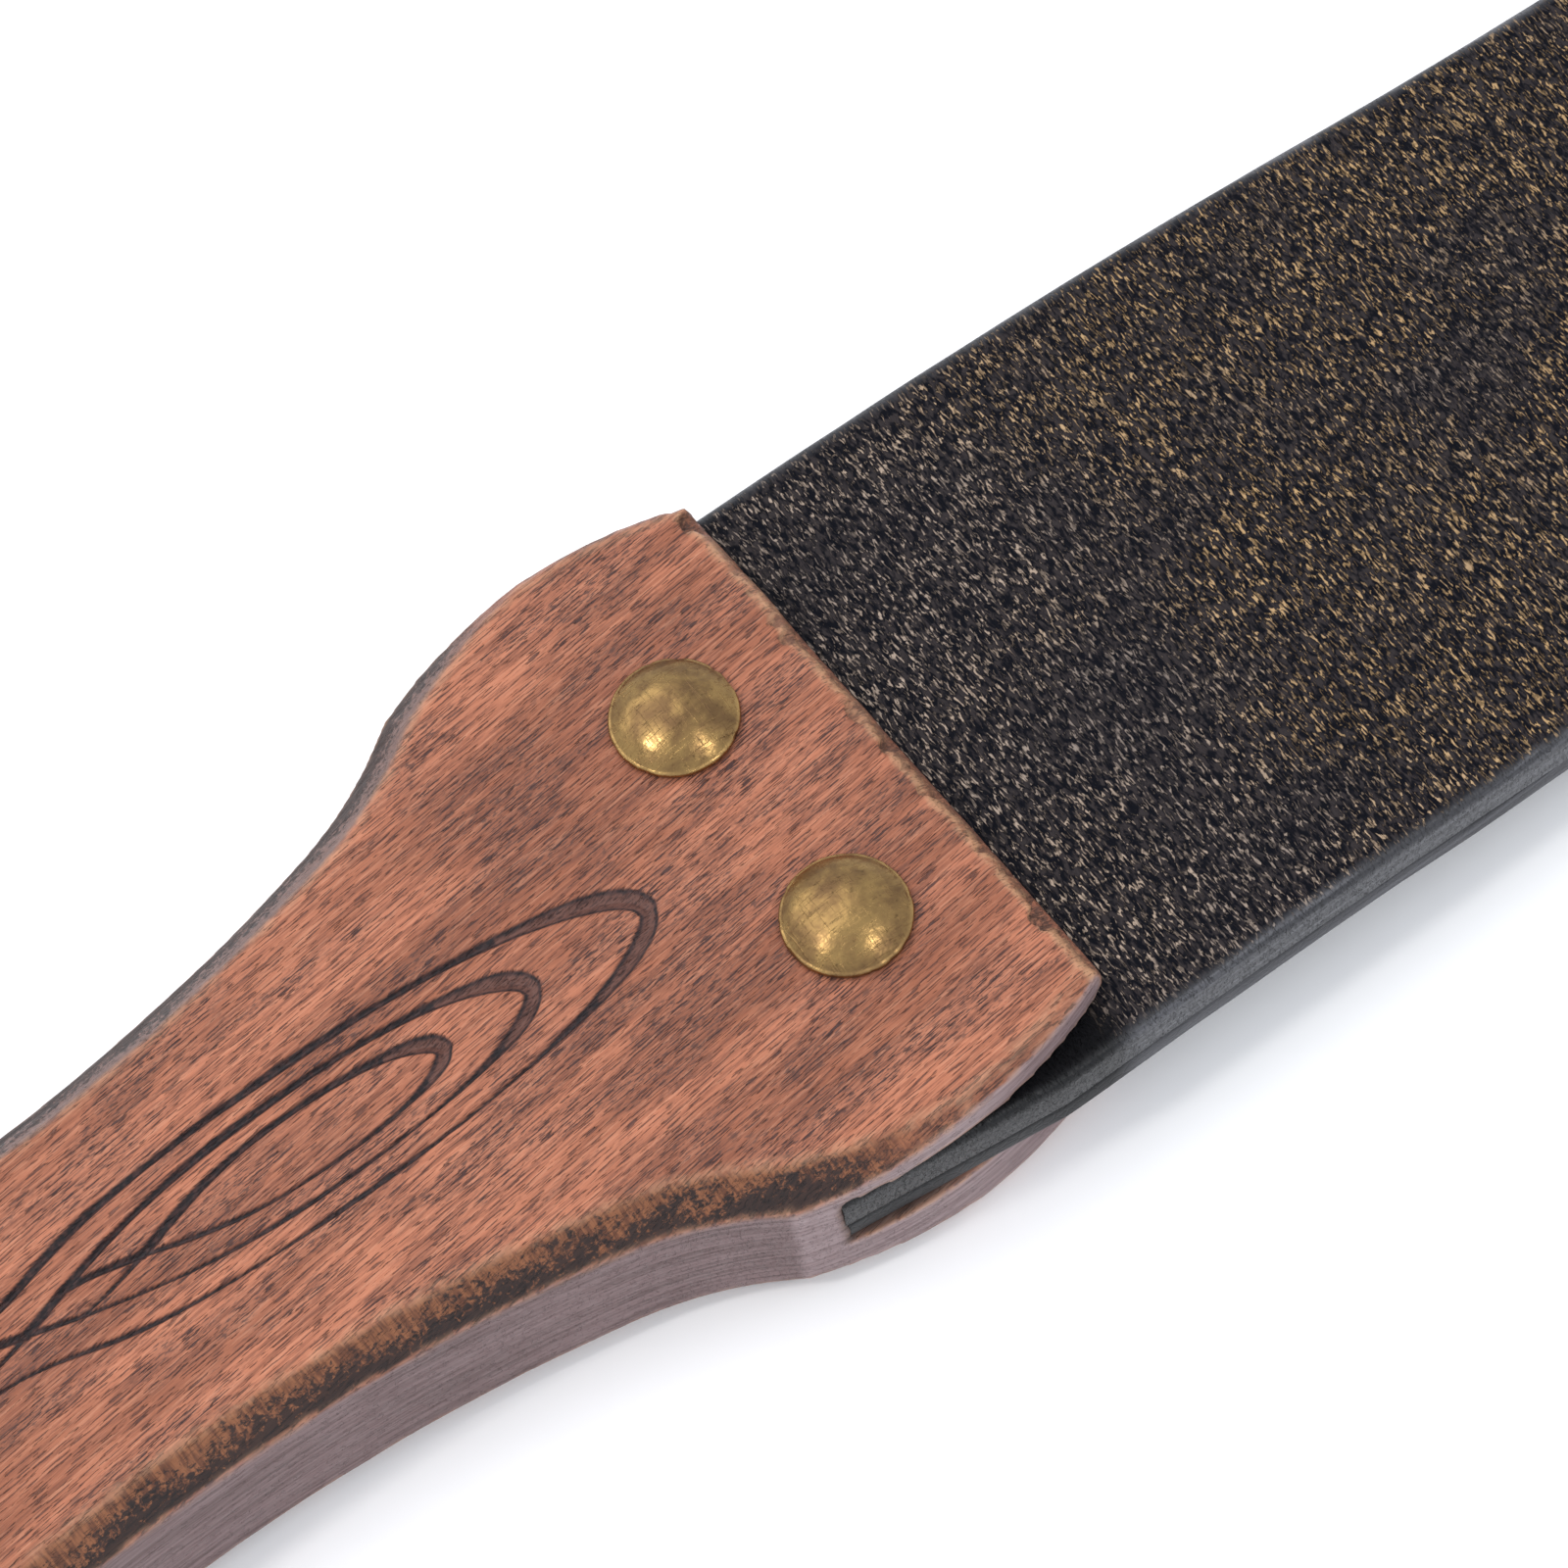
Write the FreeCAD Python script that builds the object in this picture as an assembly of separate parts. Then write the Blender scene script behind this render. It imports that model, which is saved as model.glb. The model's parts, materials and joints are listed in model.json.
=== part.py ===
import FreeCAD, Part
import math
import os

"""A hanging leather strop: a carved wooden handle that grips two glued leather layers in a slot,
and, at the strap's far end, a leather hanger, a D-ring and a swivel bolt snap.

Millimetres. +X runs along the strop towards the snap, +Y across it, +Z up from the table.
The origin is the middle of the handle's flat underside."""

V = FreeCAD.Vector
X_AXIS = V(1, 0, 0)
Y_AXIS = V(0, 1, 0)
Z_AXIS = V(0, 0, 1)

# handle
HANDLE_THICK = 18.0
HALF_LENGTH = 76.0           # neck's middle to the straight front edge
NECK_HALF = 15.8             # half-width at the neck
HEAD_HALF = 28.0             # half-width at the widest of each flared end
SHOULDER_R = 40.0            # convex arc of each flared end
SHOULDER_BACK = 15.0         # from the front edge back to the widest place
FLARE_R = 32.0               # tight end of each side's hollow, up to the flared end's blunt corner
FLARE_BACK = 28.5            # from the front edge back to that corner
BLUNT_TURN = 17.0            # degrees that the outline turns there
BUTT_R = 46.0                # rounded rear end
BUTT_BULGE = 2.0             # how far the rear end stands past the mirrored front edge
BUTT_CORNER_R = 9.0
CHAMFER = 2.75               # broad bevel round the neck and the rear
EDGE_BREAK = 0.9             # small bevel that it fades to at the mouth
FADE_START = 27.0            # from the front edge back to where the bevel starts to fade
FADE_END = 14.0              # and to where it has faded
HANDLE_SKEW = 1.5            # degrees that the handle stands turned from the strap's line

# slot and leather
UPPER_CHEEK = 4.2
SLOT_DEPTH = 25.0
MAIN_THICK = 4.2             # upper, finished layer
BACK_THICK = 2.4             # lower layer
GLUE_GAP = 0.1               # above and below the leather, filled with glue
END_GAP = 1.2                # behind the leather in the slot
SIDE_SET_BACK = 0.3          # leather's rear corners in from the handle's sides
TRIM_AHEAD = 5.0             # the corner trim ends this far behind the front edge
STRAP_HALF = 27.5
STRAP_FREE = 380.0           # from the handle's front edge to the strap's end
TONGUE_MARGIN = 3.0          # the narrowed end stands out past the hanger on each side
TONGUE_LENGTH = 12.0
TONGUE_CORNER_R = 8.0
TAPER_LENGTH = 38.0
DROP_START = 6.0             # the strap leaves the mouth level, then bends down
DROP_END = 110.0             # it lies on the table from here
LIFT_LENGTH = 95.0           # and it rises over this length to the thicker hardware
LIFT_CLEAR = 3.0             # level again this far before the hanger

# flex line in front of the mouth
FLEX_AHEAD = 4.0
FLEX_ROUND = 0.3             # convex end's radius past half the leather's thickness
FLEX_GAP = 0.4

# dome fasteners: cap with a threaded barrel, and a slotted screw from below
DOME_R = 5.0
DOME_HEIGHT = 2.4
DOME_RIM = 0.45
BARREL_R = 2.4
BARREL_FIT = 0.1
SCREW_R = 1.5
SCREW_HEAD_R = 4.2
SCREW_HEAD_THICK = 1.2
SCREW_SLOT_WIDE = 1.0
SCREW_SLOT_DEEP = 0.5
HEAD_SUNK = 0.3              # screw heads sit this far inside the underside
THREAD_FIT = 0.02
HANDLE_FASTENER_BACK = 12.0  # from the front edge
HANDLE_FASTENER_HALF = 10.5  # each side of the centre line

# hanger, D-ring and snap, on one axis above the table
EYE_CLEAR = 0.1              # the swivel eye's lowest point above the table
HANGER_THICK = 2.2
HANGER_HALF = 11.0
HANGER_LAP = 32.0            # over the strap's end
HANGER_ROWS = (9.5, 23.5)    # fasteners, back from the strap's end
BAR_R = 1.8
BAR_PLAY = 0.3               # between the bar and the hanger's fold
BAR_PAST_STRAP = 1.0
HANGER_SIDE_PLAY = 0.3       # between the hanger's sides and the ring's corners
RING_CORNER_R = 4.0
RING_STRAIGHT = 5.0
EYE_HOLE_R = 3.6
EYE_TUBE_R = 1.7
EYE_PLAY = 0.3
SHANK_R = 2.4
SHANK_FIT = 0.1
SHANK_HEAD_R = 3.9
SHANK_HEAD_THICK = 1.8
COLLAR_R = 6.2
COLLAR_LENGTH = 7.0
COLLAR_WALL = 4.5            # length of the bore that the shank turns in
POCKET_PLAY = 0.4            # round the shank's head
EYE_TO_COLLAR = 8.0
HOOK_R = 2.7
SPINE_Y = -8.0
BORE_WEB = 0.6               # metal between the swivel pocket and the bolt's bore
TUBE_WALL = 1.82
TUBE_LENGTH = 21.0
GATE = 9.0                   # gap that the bolt closes
NOSE_LENGTH = 2.0
BOLT_R = 2.0
BOLT_FIT = 0.08
BOLT_INSIDE = 9.5
BOLT_TRAVEL = 6.5
NOSE_GAP = 0.3
STUD_R = 1.1
STUD_BACK = 2.5              # from the bolt's rear end
STUD_SLOT_FIT = 0.2
KNOB_R = 2.3
KNOB_THICK = 2.0
KNOB_GAP = 0.4
SPRING_WIRE = 0.5
SPRING_TURNS = 4
PLUG_WALL = 2.0

OVERLAP = 1.0                # how far a cutting tool runs past a face
CUT_PAST_CORNER = 3.0        # and past a corner of the outline
BEVEL_STEPS = 8              # flats along each arc's bevel

FRONT_X = HALF_LENGTH
STRAP_THICK = MAIN_THICK + BACK_THICK
SLOT_TOP = HANDLE_THICK - UPPER_CHEEK
SLOT_BOTTOM = SLOT_TOP - STRAP_THICK - 2 * GLUE_GAP
GLUE_LINE_Z = SLOT_TOP - GLUE_GAP - MAIN_THICK
FLEX_X = FRONT_X + FLEX_AHEAD
HEAD_RECESS = SCREW_HEAD_THICK + HEAD_SUNK
TONGUE_HALF = HANGER_HALF + TONGUE_MARGIN
LIFT_END = STRAP_FREE - HANGER_LAP - LIFT_CLEAR
LIFT_START = LIFT_END - LIFT_LENGTH
HARDWARE_Z = EYE_HOLE_R + 2 * EYE_TUBE_R + EYE_CLEAR
RING_HALF = HANGER_HALF + HANGER_SIDE_PLAY + RING_CORNER_R
POCKET_R = SHANK_HEAD_R + POCKET_PLAY
BOLT_Y = POCKET_R + BORE_WEB + BOLT_FIT + BOLT_R
BARREL_TUBE_R = BOLT_R + BOLT_FIT + TUBE_WALL
FLEX_Z = SLOT_BOTTOM + GLUE_GAP + STRAP_THICK / 2
STRAP_END = FRONT_X + STRAP_FREE
END_LINE_Z = HARDWARE_Z - MAIN_THICK / 2
BAR_X = STRAP_END + BAR_PAST_STRAP + BAR_R
RING_APEX = BAR_X + RING_STRAIGHT + RING_HALF
EYE_X = RING_APEX + EYE_HOLE_R - BAR_R - EYE_PLAY
SNAP_X = EYE_X + EYE_TO_COLLAR
TUBE_START = SNAP_X + 1.0
TUBE_END = TUBE_START + TUBE_LENGTH
NOSE_X = TUBE_END + GATE
BOLT_START = TUBE_END - BOLT_INSIDE
SPRING_START = TUBE_START + PLUG_WALL


def cylinder(radius, length, start, axis):
    return Part.makeCylinder(radius, length, start, axis)


def block(low, high):
    return Part.makeBox(high.x - low.x, high.y - low.y, high.z - low.z, low)


def arc(a, b, c):
    return Part.Arc(a, b, c).toShape()


def line(a, b):
    return Part.LineSegment(a, b).toShape()


def prism(edges, direction):
    return Part.Face(Part.Wire(Part.__sortEdges__(edges))).extrude(direction)


def save(name, shape):
    shape.exportStep("parts/" + name + ".step")


def skewed(shape):
    """Turned with the handle about the middle of its underside."""
    turned = shape.copy()
    turned.rotate(V(0, 0, 0), Z_AXIS, HANDLE_SKEW)
    return turned


def polar(centre, radius, angle):
    return (centre[0] + radius * math.cos(angle), centre[1] + radius * math.sin(angle))


def angle_to(centre, point):
    return math.atan2(point[1] - centre[1], point[0] - centre[0])


# --- handle outline: front corner, shoulder, neck, rear shoulder, corner, butt --------------------

def outline_arcs():
    """Arcs of the +Y half, front to rear: (centre, radius, first angle, last angle, outward sign)."""
    shoulder = (FRONT_X - SHOULDER_BACK, HEAD_HALF - SHOULDER_R)
    front = on_circle(shoulder, SHOULDER_R, FRONT_X)
    blunt = on_circle(shoulder, SHOULDER_R, FRONT_X - FLARE_BACK)
    heading = angle_to(shoulder, blunt) - math.pi / 2 + math.radians(BLUNT_TURN)
    flare = (blunt[0] - FLARE_R * math.sin(heading), blunt[1] + FLARE_R * math.cos(heading))
    rise = flare[1] - NECK_HALF
    neck_r = (flare[0] ** 2 + rise ** 2 - FLARE_R ** 2) / 2 / (rise - FLARE_R)
    neck = (0.0, NECK_HALF + neck_r)
    rear, rear_blunt, rear_flare = [(-x, y) for x, y in (shoulder, blunt, flare)]
    butt = (-FRONT_X - BUTT_BULGE + BUTT_R, 0.0)
    corner = upper_meeting(rear, SHOULDER_R - BUTT_CORNER_R, butt, BUTT_R - BUTT_CORNER_R)
    join = angle_to(neck, flare)
    to_corner = angle_to(rear, corner)
    to_butt = angle_to(butt, corner)
    return (
        (shoulder, SHOULDER_R, angle_to(shoulder, front), angle_to(shoulder, blunt), 1),
        (flare, FLARE_R, angle_to(flare, blunt), join, -1),
        (neck, neck_r, join, -math.pi - join, -1),
        (rear_flare, FLARE_R, -math.pi - join, angle_to(rear_flare, rear_blunt), -1),
        (rear, SHOULDER_R, angle_to(rear, rear_blunt), to_corner, 1),
        (corner, BUTT_CORNER_R, to_corner, to_butt, 1),
        (butt, BUTT_R, to_butt, math.pi, 1),
    )


def on_circle(centre, radius, x):
    """The circle's upper point at x."""
    return (x, centre[1] + math.sqrt(radius ** 2 - (x - centre[0]) ** 2))


def upper_meeting(c1, r1, c2, r2):
    """The crossing of two circles with the larger Y."""
    dx, dy = c2[0] - c1[0], c2[1] - c1[1]
    gap = math.hypot(dx, dy)
    along = (gap ** 2 + r1 ** 2 - r2 ** 2) / (2 * gap)
    across = math.sqrt(r1 ** 2 - along ** 2)
    side = math.copysign(across, dx)
    return (c1[0] + (along * dx - side * dy) / gap, c1[1] + (along * dy + side * dx) / gap)


def outline_edges(z):
    edges = []
    for centre, radius, first, last, _ in outline_arcs():
        points = [polar(centre, radius, first + (last - first) * t) for t in (0, 0.5, 1)]
        for side in (1, -1):
            edges.append(arc(*[V(p[0], side * p[1], z) for p in points]))
    centre, radius, first, _, _ = outline_arcs()[0]
    front_x, front_y = polar(centre, radius, first)
    edges.append(line(V(front_x, front_y, z), V(front_x, -front_y, z)))
    return edges


def run_stations(run):
    """Points and outward normals along touching arcs, and a little past both ends."""
    stations = []
    for number, (centre, radius, first, last, sign) in enumerate(run):
        past = math.copysign(CUT_PAST_CORNER / radius, last - first)
        start = first if number else first - past
        end = last if number < len(run) - 1 else last + past
        for i in range(min(number, 1), BEVEL_STEPS + 1):
            angle = start + (end - start) * i / BEVEL_STEPS
            normal = (sign * math.cos(angle), sign * math.sin(angle))
            stations.append((polar(centre, radius, angle), normal))
    return stations


def bevel_at(x):
    faded = (FRONT_X - x - FADE_END) / (FADE_START - FADE_END)
    return EDGE_BREAK + (CHAMFER - EDGE_BREAK) * min(1.0, max(0.0, faded))


def bevel_cutters():
    """Wedges that bevel the +Y half of the top edge, one for each run between blunt corners."""
    arcs = outline_arcs()
    cutters = []
    for run in (arcs[:1], arcs[1:4], arcs[4:]):
        sections = []
        for (x, y), (nx, ny) in run_stations(run):
            size = bevel_at(x)
            low = V(x + nx * OVERLAP, y + ny * OVERLAP, HANDLE_THICK - size - OVERLAP)
            high = V(x - nx * (size + OVERLAP), y - ny * (size + OVERLAP), HANDLE_THICK + OVERLAP)
            out = V(low.x, low.y, high.z)
            sections.append(Part.makePolygon([low, high, out, low]))
        cutters.append(Part.makeLoft(sections, True, True))
    return cutters


def mirrored(shape, normal, base=V(0, 0, 0)):
    return shape.mirror(base, normal)


def handle_fasteners():
    """Their places before the handle is skewed."""
    return [(FRONT_X - HANDLE_FASTENER_BACK, side * HANDLE_FASTENER_HALF) for side in (1, -1)]


def hanger_fasteners():
    return [(STRAP_END - back, 0.0) for back in HANGER_ROWS]


def make_handle():
    body = prism(outline_edges(0), V(0, 0, HANDLE_THICK))
    for top in bevel_cutters():
        for cutter in (top, mirrored(top, Y_AXIS)):
            body = body.cut(cutter)
            body = body.cut(mirrored(cutter, Z_AXIS, V(0, 0, HANDLE_THICK / 2)))
    for z, up in ((0, 1), (HANDLE_THICK, -1), (SLOT_BOTTOM, -1), (SLOT_TOP, 1)):
        body = body.cut(front_edge_break(z, up))
    wide = HEAD_HALF + OVERLAP
    body = body.cut(block(V(FRONT_X - SLOT_DEPTH, -wide, SLOT_BOTTOM),
                          V(FRONT_X + OVERLAP, wide, SLOT_TOP)))
    for x, y in handle_fasteners():
        body = body.cut(cylinder(BARREL_R + BARREL_FIT, HANDLE_THICK, V(x, y, 0), Z_AXIS))
        body = body.cut(cylinder(SCREW_HEAD_R + BARREL_FIT, HEAD_RECESS, V(x, y, 0), Z_AXIS))
    return body


def front_edge_break(z, up):
    """The small 45 degree bevel across the mouth, on the edge at height z."""
    reach = EDGE_BREAK + OVERLAP
    wide = HEAD_HALF + OVERLAP
    corners = [V(FRONT_X - EDGE_BREAK - OVERLAP, -wide, z - up * OVERLAP),
               V(FRONT_X + OVERLAP, -wide, z + up * reach),
               V(FRONT_X + OVERLAP, -wide, z - up * OVERLAP)]
    return Part.Face(Part.makePolygon(corners + corners[:1])).extrude(V(0, 2 * wide, 0))


# --- leather ------------------------------------------------------------------------------------

def s_bend(start, end, offset, place):
    """Two equal arcs from start to end, level at both, each offset to one side by the same amount."""
    run, rise = end[0] - start[0], end[1] - start[1]
    way = 1 if rise > 0 else -1
    radius = (run ** 2 + rise ** 2) / (4 * abs(rise))
    half_turn = math.asin(run / 2 / radius)
    edges = []
    for anchor, bend, ways in ((start, way, 1), (end, -way, -1)):
        r = radius - bend * offset
        spots = [(anchor[0] + ways * r * math.sin(half_turn * t),
                  anchor[1] + bend * radius - bend * r * math.cos(half_turn * t)) for t in (0, 0.5, 1)]
        edges.append(arc(*[place(*p) for p in spots]))
    return edges


def side_place(x, z):
    return V(x, -STRAP_HALF - OVERLAP, z)


def layer(offset_low, offset_high, end_x):
    """One leather layer's full-width slab, following the strap's rise and fall, out to end_x."""
    level = ((FRONT_X - SLOT_DEPTH, FRONT_X + DROP_START, GLUE_LINE_Z),
             (FRONT_X + DROP_END, FRONT_X + LIFT_START, BACK_THICK),
             (FRONT_X + LIFT_END, end_x, END_LINE_Z))
    edges = []
    for offset in (offset_low, offset_high):
        for x0, x1, z in level:
            if x1 > x0:
                edges.append(line(side_place(x0, z + offset), side_place(x1, z + offset)))
        for (_, x0, z0), (x1, _, z1) in zip(level, level[1:]):
            edges += s_bend((x0, z0), (x1, z1), offset, side_place)
    for x, z in ((level[0][0], GLUE_LINE_Z), (max(end_x, level[2][0]), END_LINE_Z)):
        edges.append(line(side_place(x, z + offset_low), side_place(x, z + offset_high)))
    return prism(edges, V(0, 2 * (STRAP_HALF + OVERLAP), 0))


def strap_plan():
    """The strap seen from above, as a tall prism: square in the slot, narrowed at the far end."""
    tall = 3 * HANDLE_THICK
    root_x = FRONT_X - SLOT_DEPTH
    taper_end = STRAP_END - TONGUE_LENGTH
    taper_start = taper_end - TAPER_LENGTH
    corner_x = STRAP_END - TONGUE_CORNER_R
    corner_y = TONGUE_HALF - TONGUE_CORNER_R
    slant = TONGUE_CORNER_R * math.sqrt(0.5)
    edges = [line(V(root_x, -STRAP_HALF, 0), V(root_x, STRAP_HALF, 0)),
             line(V(STRAP_END, -corner_y, 0), V(STRAP_END, corner_y, 0))]
    for side in (1, -1):
        def place(x, y, side=side):
            return V(x, side * y, 0)
        edges.append(line(place(root_x, STRAP_HALF), place(taper_start, STRAP_HALF)))
        edges += s_bend((taper_start, STRAP_HALF), (taper_end, TONGUE_HALF), 0, place)
        edges.append(line(place(taper_end, TONGUE_HALF), place(corner_x, TONGUE_HALF)))
        edges.append(arc(place(corner_x, TONGUE_HALF),
                         place(corner_x + slant, corner_y + slant),
                         place(STRAP_END, corner_y)))
    return prism(edges, V(0, 0, tall)).translated(V(0, 0, -HANDLE_THICK))


def slot_plan():
    """Where leather may be at the root: clear of the slot's end, its rear corners trimmed off."""
    root_x = FRONT_X - SLOT_DEPTH + END_GAP
    trim_x = FRONT_X - TRIM_AHEAD
    shoulder = (FRONT_X - SHOULDER_BACK, HEAD_HALF - SHOULDER_R)
    inner_y = on_circle(shoulder, SHOULDER_R, root_x)[1] - SIDE_SET_BACK
    outer_y = STRAP_HALF + math.radians(HANDLE_SKEW) * FRONT_X
    half = [(root_x, inner_y), (trim_x, outer_y), (FLEX_X + OVERLAP, outer_y + OVERLAP)]
    corners = [V(x, y, 0) for x, y in half] + [V(x, -y, 0) for x, y in reversed(half)]
    return skewed(Part.Face(Part.makePolygon(corners + corners[:1])).extrude(V(0, 0, HANDLE_THICK)))


def flex_round(extra):
    radius = STRAP_THICK / 2 + extra
    wide = STRAP_HALF + OVERLAP
    return cylinder(radius, 2 * wide, V(FLEX_X, -wide, FLEX_Z), Y_AXIS)


def ahead_of_flex():
    wide = STRAP_HALF + OVERLAP
    return block(V(FLEX_X, -wide, -HANDLE_THICK), V(STRAP_END + OVERLAP, wide, 2 * HANDLE_THICK))


def barrel_hole(x, y):
    return cylinder(BARREL_R + BARREL_FIT, 4 * HANDLE_THICK, V(x, y, -HANDLE_THICK), Z_AXIS)


def make_leather(offset_low, offset_high, end_x):
    """One layer's two solids: the root, glued in the slot, and the free strap."""
    slab = layer(offset_low, offset_high, end_x).common(strap_plan())
    root = slab.cut(ahead_of_flex()).cut(flex_round(FLEX_ROUND + FLEX_GAP)).common(slot_plan())
    free = slab.common(ahead_of_flex().fuse(flex_round(FLEX_ROUND)))
    for x, y in handle_fasteners():
        root = root.cut(skewed(barrel_hole(x, y)))
    for x, y in hanger_fasteners():
        free = free.cut(barrel_hole(x, y))
    return root, free


def make_hanger():
    """A thin strap folded round the D-ring's bar, its two legs lapping the strap's end."""
    lap_x = STRAP_END - HANGER_LAP
    reach = BAR_X - STRAP_END

    def place(x, z):
        return V(x, -HANGER_HALF, HARDWARE_Z + z)

    edges = []
    for offset in (0, HANGER_THICK):
        leg_z = MAIN_THICK / 2 + offset
        radius = BAR_R + BAR_PLAY + offset
        turn = math.atan2(leg_z, -reach) - math.acos(radius / math.hypot(reach, leg_z))
        touch_x = BAR_X + radius * math.cos(turn)
        touch_z = radius * math.sin(turn)
        for side in (1, -1):
            edges.append(line(place(lap_x, side * leg_z), place(STRAP_END, side * leg_z)))
            edges.append(line(place(STRAP_END, side * leg_z), place(touch_x, side * touch_z)))
        edges.append(arc(place(touch_x, touch_z), place(BAR_X + radius, 0), place(touch_x, -touch_z)))
    for side in (1, -1):
        inner = side * MAIN_THICK / 2
        edges.append(line(place(lap_x, inner), place(lap_x, inner + side * HANGER_THICK)))
    hanger = prism(edges, V(0, 2 * HANGER_HALF, 0)).removeSplitter()
    for x, y in hanger_fasteners():
        hanger = hanger.cut(barrel_hole(x, y))
    return hanger


# --- dome fasteners -----------------------------------------------------------------------------

def make_cap(x, y, seat_z, barrel_length):
    """A domed cap that sits on seat_z, with a threaded barrel below it."""
    rise = DOME_HEIGHT - DOME_RIM
    sphere_r = (DOME_R ** 2 + rise ** 2) / (2 * rise)
    ball = Part.makeSphere(sphere_r, V(x, y, seat_z + DOME_HEIGHT - sphere_r))
    dome = ball.common(cylinder(DOME_R, DOME_HEIGHT, V(x, y, seat_z), Z_AXIS))
    barrel = cylinder(BARREL_R, barrel_length, V(x, y, seat_z - barrel_length), Z_AXIS)
    bore = cylinder(SCREW_R + THREAD_FIT, barrel_length, V(x, y, seat_z - barrel_length), Z_AXIS)
    return dome.fuse(barrel).cut(bore).removeSplitter()


def make_screw(x, y, seat_z, shank_length):
    """A slotted flat-headed screw whose head's upper face is at seat_z."""
    base = V(x, y, seat_z - SCREW_HEAD_THICK)
    head = cylinder(SCREW_HEAD_R, SCREW_HEAD_THICK, base, Z_AXIS)
    shank = cylinder(SCREW_R, shank_length, V(x, y, seat_z), Z_AXIS)
    half = SCREW_SLOT_WIDE / 2
    slot = block(V(x - SCREW_HEAD_R - OVERLAP, y - half, base.z - OVERLAP),
                 V(x + SCREW_HEAD_R + OVERLAP, y + half, base.z + SCREW_SLOT_DEEP))
    return head.fuse(shank).removeSplitter().cut(slot)


def make_fasteners(places, top_z, bottom_z):
    """Caps on top_z and screws whose heads bear on bottom_z, through everything between."""
    grip = top_z - bottom_z
    barrel_length = grip - SCREW_HEAD_THICK
    caps = [make_cap(x, y, top_z, barrel_length) for x, y in places]
    screws = [make_screw(x, y, bottom_z, barrel_length - SCREW_HEAD_THICK) for x, y in places]
    return caps, screws


# --- ring and snap ------------------------------------------------------------------------------

def rod(edges, radius):
    """A round rod along an open or closed path of edges."""
    path = Part.Wire(Part.__sortEdges__(edges))
    first = path.OrderedEdges[0]
    start = first.valueAt(first.FirstParameter)
    section = Part.Wire(Part.makeCircle(radius, start, first.tangentAt(first.FirstParameter)))
    return path.makePipeShell([section], True, False)


def make_ring():
    """The D-ring: a straight bar in the hanger, two corners and a round bow."""
    turn = RING_CORNER_R * (1 - math.sqrt(0.5))
    bow_x = BAR_X + RING_STRAIGHT
    z = HARDWARE_Z
    side_y = RING_HALF
    bar_y = RING_HALF - RING_CORNER_R
    edges = [line(V(BAR_X, -bar_y, z), V(BAR_X, bar_y, z)),
             arc(V(BAR_X, bar_y, z), V(BAR_X + turn, side_y - turn, z),
                 V(BAR_X + RING_CORNER_R, side_y, z)),
             line(V(BAR_X + RING_CORNER_R, side_y, z), V(bow_x, side_y, z)),
             arc(V(bow_x, side_y, z), V(RING_APEX, 0, z), V(bow_x, -side_y, z)),
             line(V(bow_x, -side_y, z), V(BAR_X + RING_CORNER_R, -side_y, z)),
             arc(V(BAR_X + RING_CORNER_R, -side_y, z), V(BAR_X + turn, turn - side_y, z),
                 V(BAR_X, -bar_y, z))]
    pieces = [rod([edge], BAR_R) for edge in edges]
    return pieces[0].multiFuse(pieces[1:]).removeSplitter()


def make_eye():
    """The swivel eye: a ring on the D-ring's bow, and a shank headed over inside the collar."""
    ring_r = EYE_HOLE_R + EYE_TUBE_R
    ring = Part.makeTorus(ring_r, EYE_TUBE_R, V(EYE_X, 0, HARDWARE_Z), Y_AXIS)
    shank_x = EYE_X + ring_r
    head_x = SNAP_X + COLLAR_WALL + SHANK_FIT
    shank = cylinder(SHANK_R, head_x - shank_x, V(shank_x, 0, HARDWARE_Z), X_AXIS)
    head = cylinder(SHANK_HEAD_R, SHANK_HEAD_THICK, V(head_x, 0, HARDWARE_Z), X_AXIS)
    return ring.fuse(shank).fuse(head).removeSplitter()


def make_snap_body():
    """Collar, spring tube and hook in one casting."""
    z = HARDWARE_Z
    collar = cylinder(COLLAR_R, COLLAR_LENGTH, V(SNAP_X, 0, z), X_AXIS)
    tube = cylinder(BARREL_TUBE_R, TUBE_LENGTH, V(TUBE_START, BOLT_Y, z), X_AXIS)
    bridge = block(V(TUBE_START, SPINE_Y, z - HOOK_R), V(SNAP_X + COLLAR_LENGTH, BOLT_Y, z + HOOK_R))
    bow_y = (SPINE_Y + BOLT_Y) / 2
    bow_r = (BOLT_Y - SPINE_Y) / 2
    bow_x = NOSE_X + NOSE_LENGTH
    spine = cylinder(HOOK_R, bow_x - TUBE_START, V(TUBE_START, SPINE_Y, z), X_AXIS)
    bow = rod([arc(V(bow_x, SPINE_Y, z), V(bow_x + bow_r, bow_y, z), V(bow_x, BOLT_Y, z))], HOOK_R)
    nose = cylinder(HOOK_R, NOSE_LENGTH, V(NOSE_X, BOLT_Y, z), X_AXIS)
    body = collar.multiFuse([tube, bridge, spine, bow, nose]).removeSplitter()
    body = body.cut(cylinder(SHANK_R + SHANK_FIT, COLLAR_LENGTH, V(SNAP_X, 0, z), X_AXIS))
    body = body.cut(cylinder(POCKET_R, COLLAR_LENGTH, V(SNAP_X + COLLAR_WALL, 0, z), X_AXIS))
    body = body.cut(cylinder(BOLT_R + BOLT_FIT, TUBE_LENGTH, V(SPRING_START, BOLT_Y, z), X_AXIS))
    stud_x = BOLT_START + STUD_BACK
    half = STUD_R + STUD_SLOT_FIT
    slot = block(V(stud_x - BOLT_TRAVEL - half, BOLT_Y, z - half),
                 V(stud_x + half, BOLT_Y + BARREL_TUBE_R + OVERLAP, z + half))
    return body.cut(slot)


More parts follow.
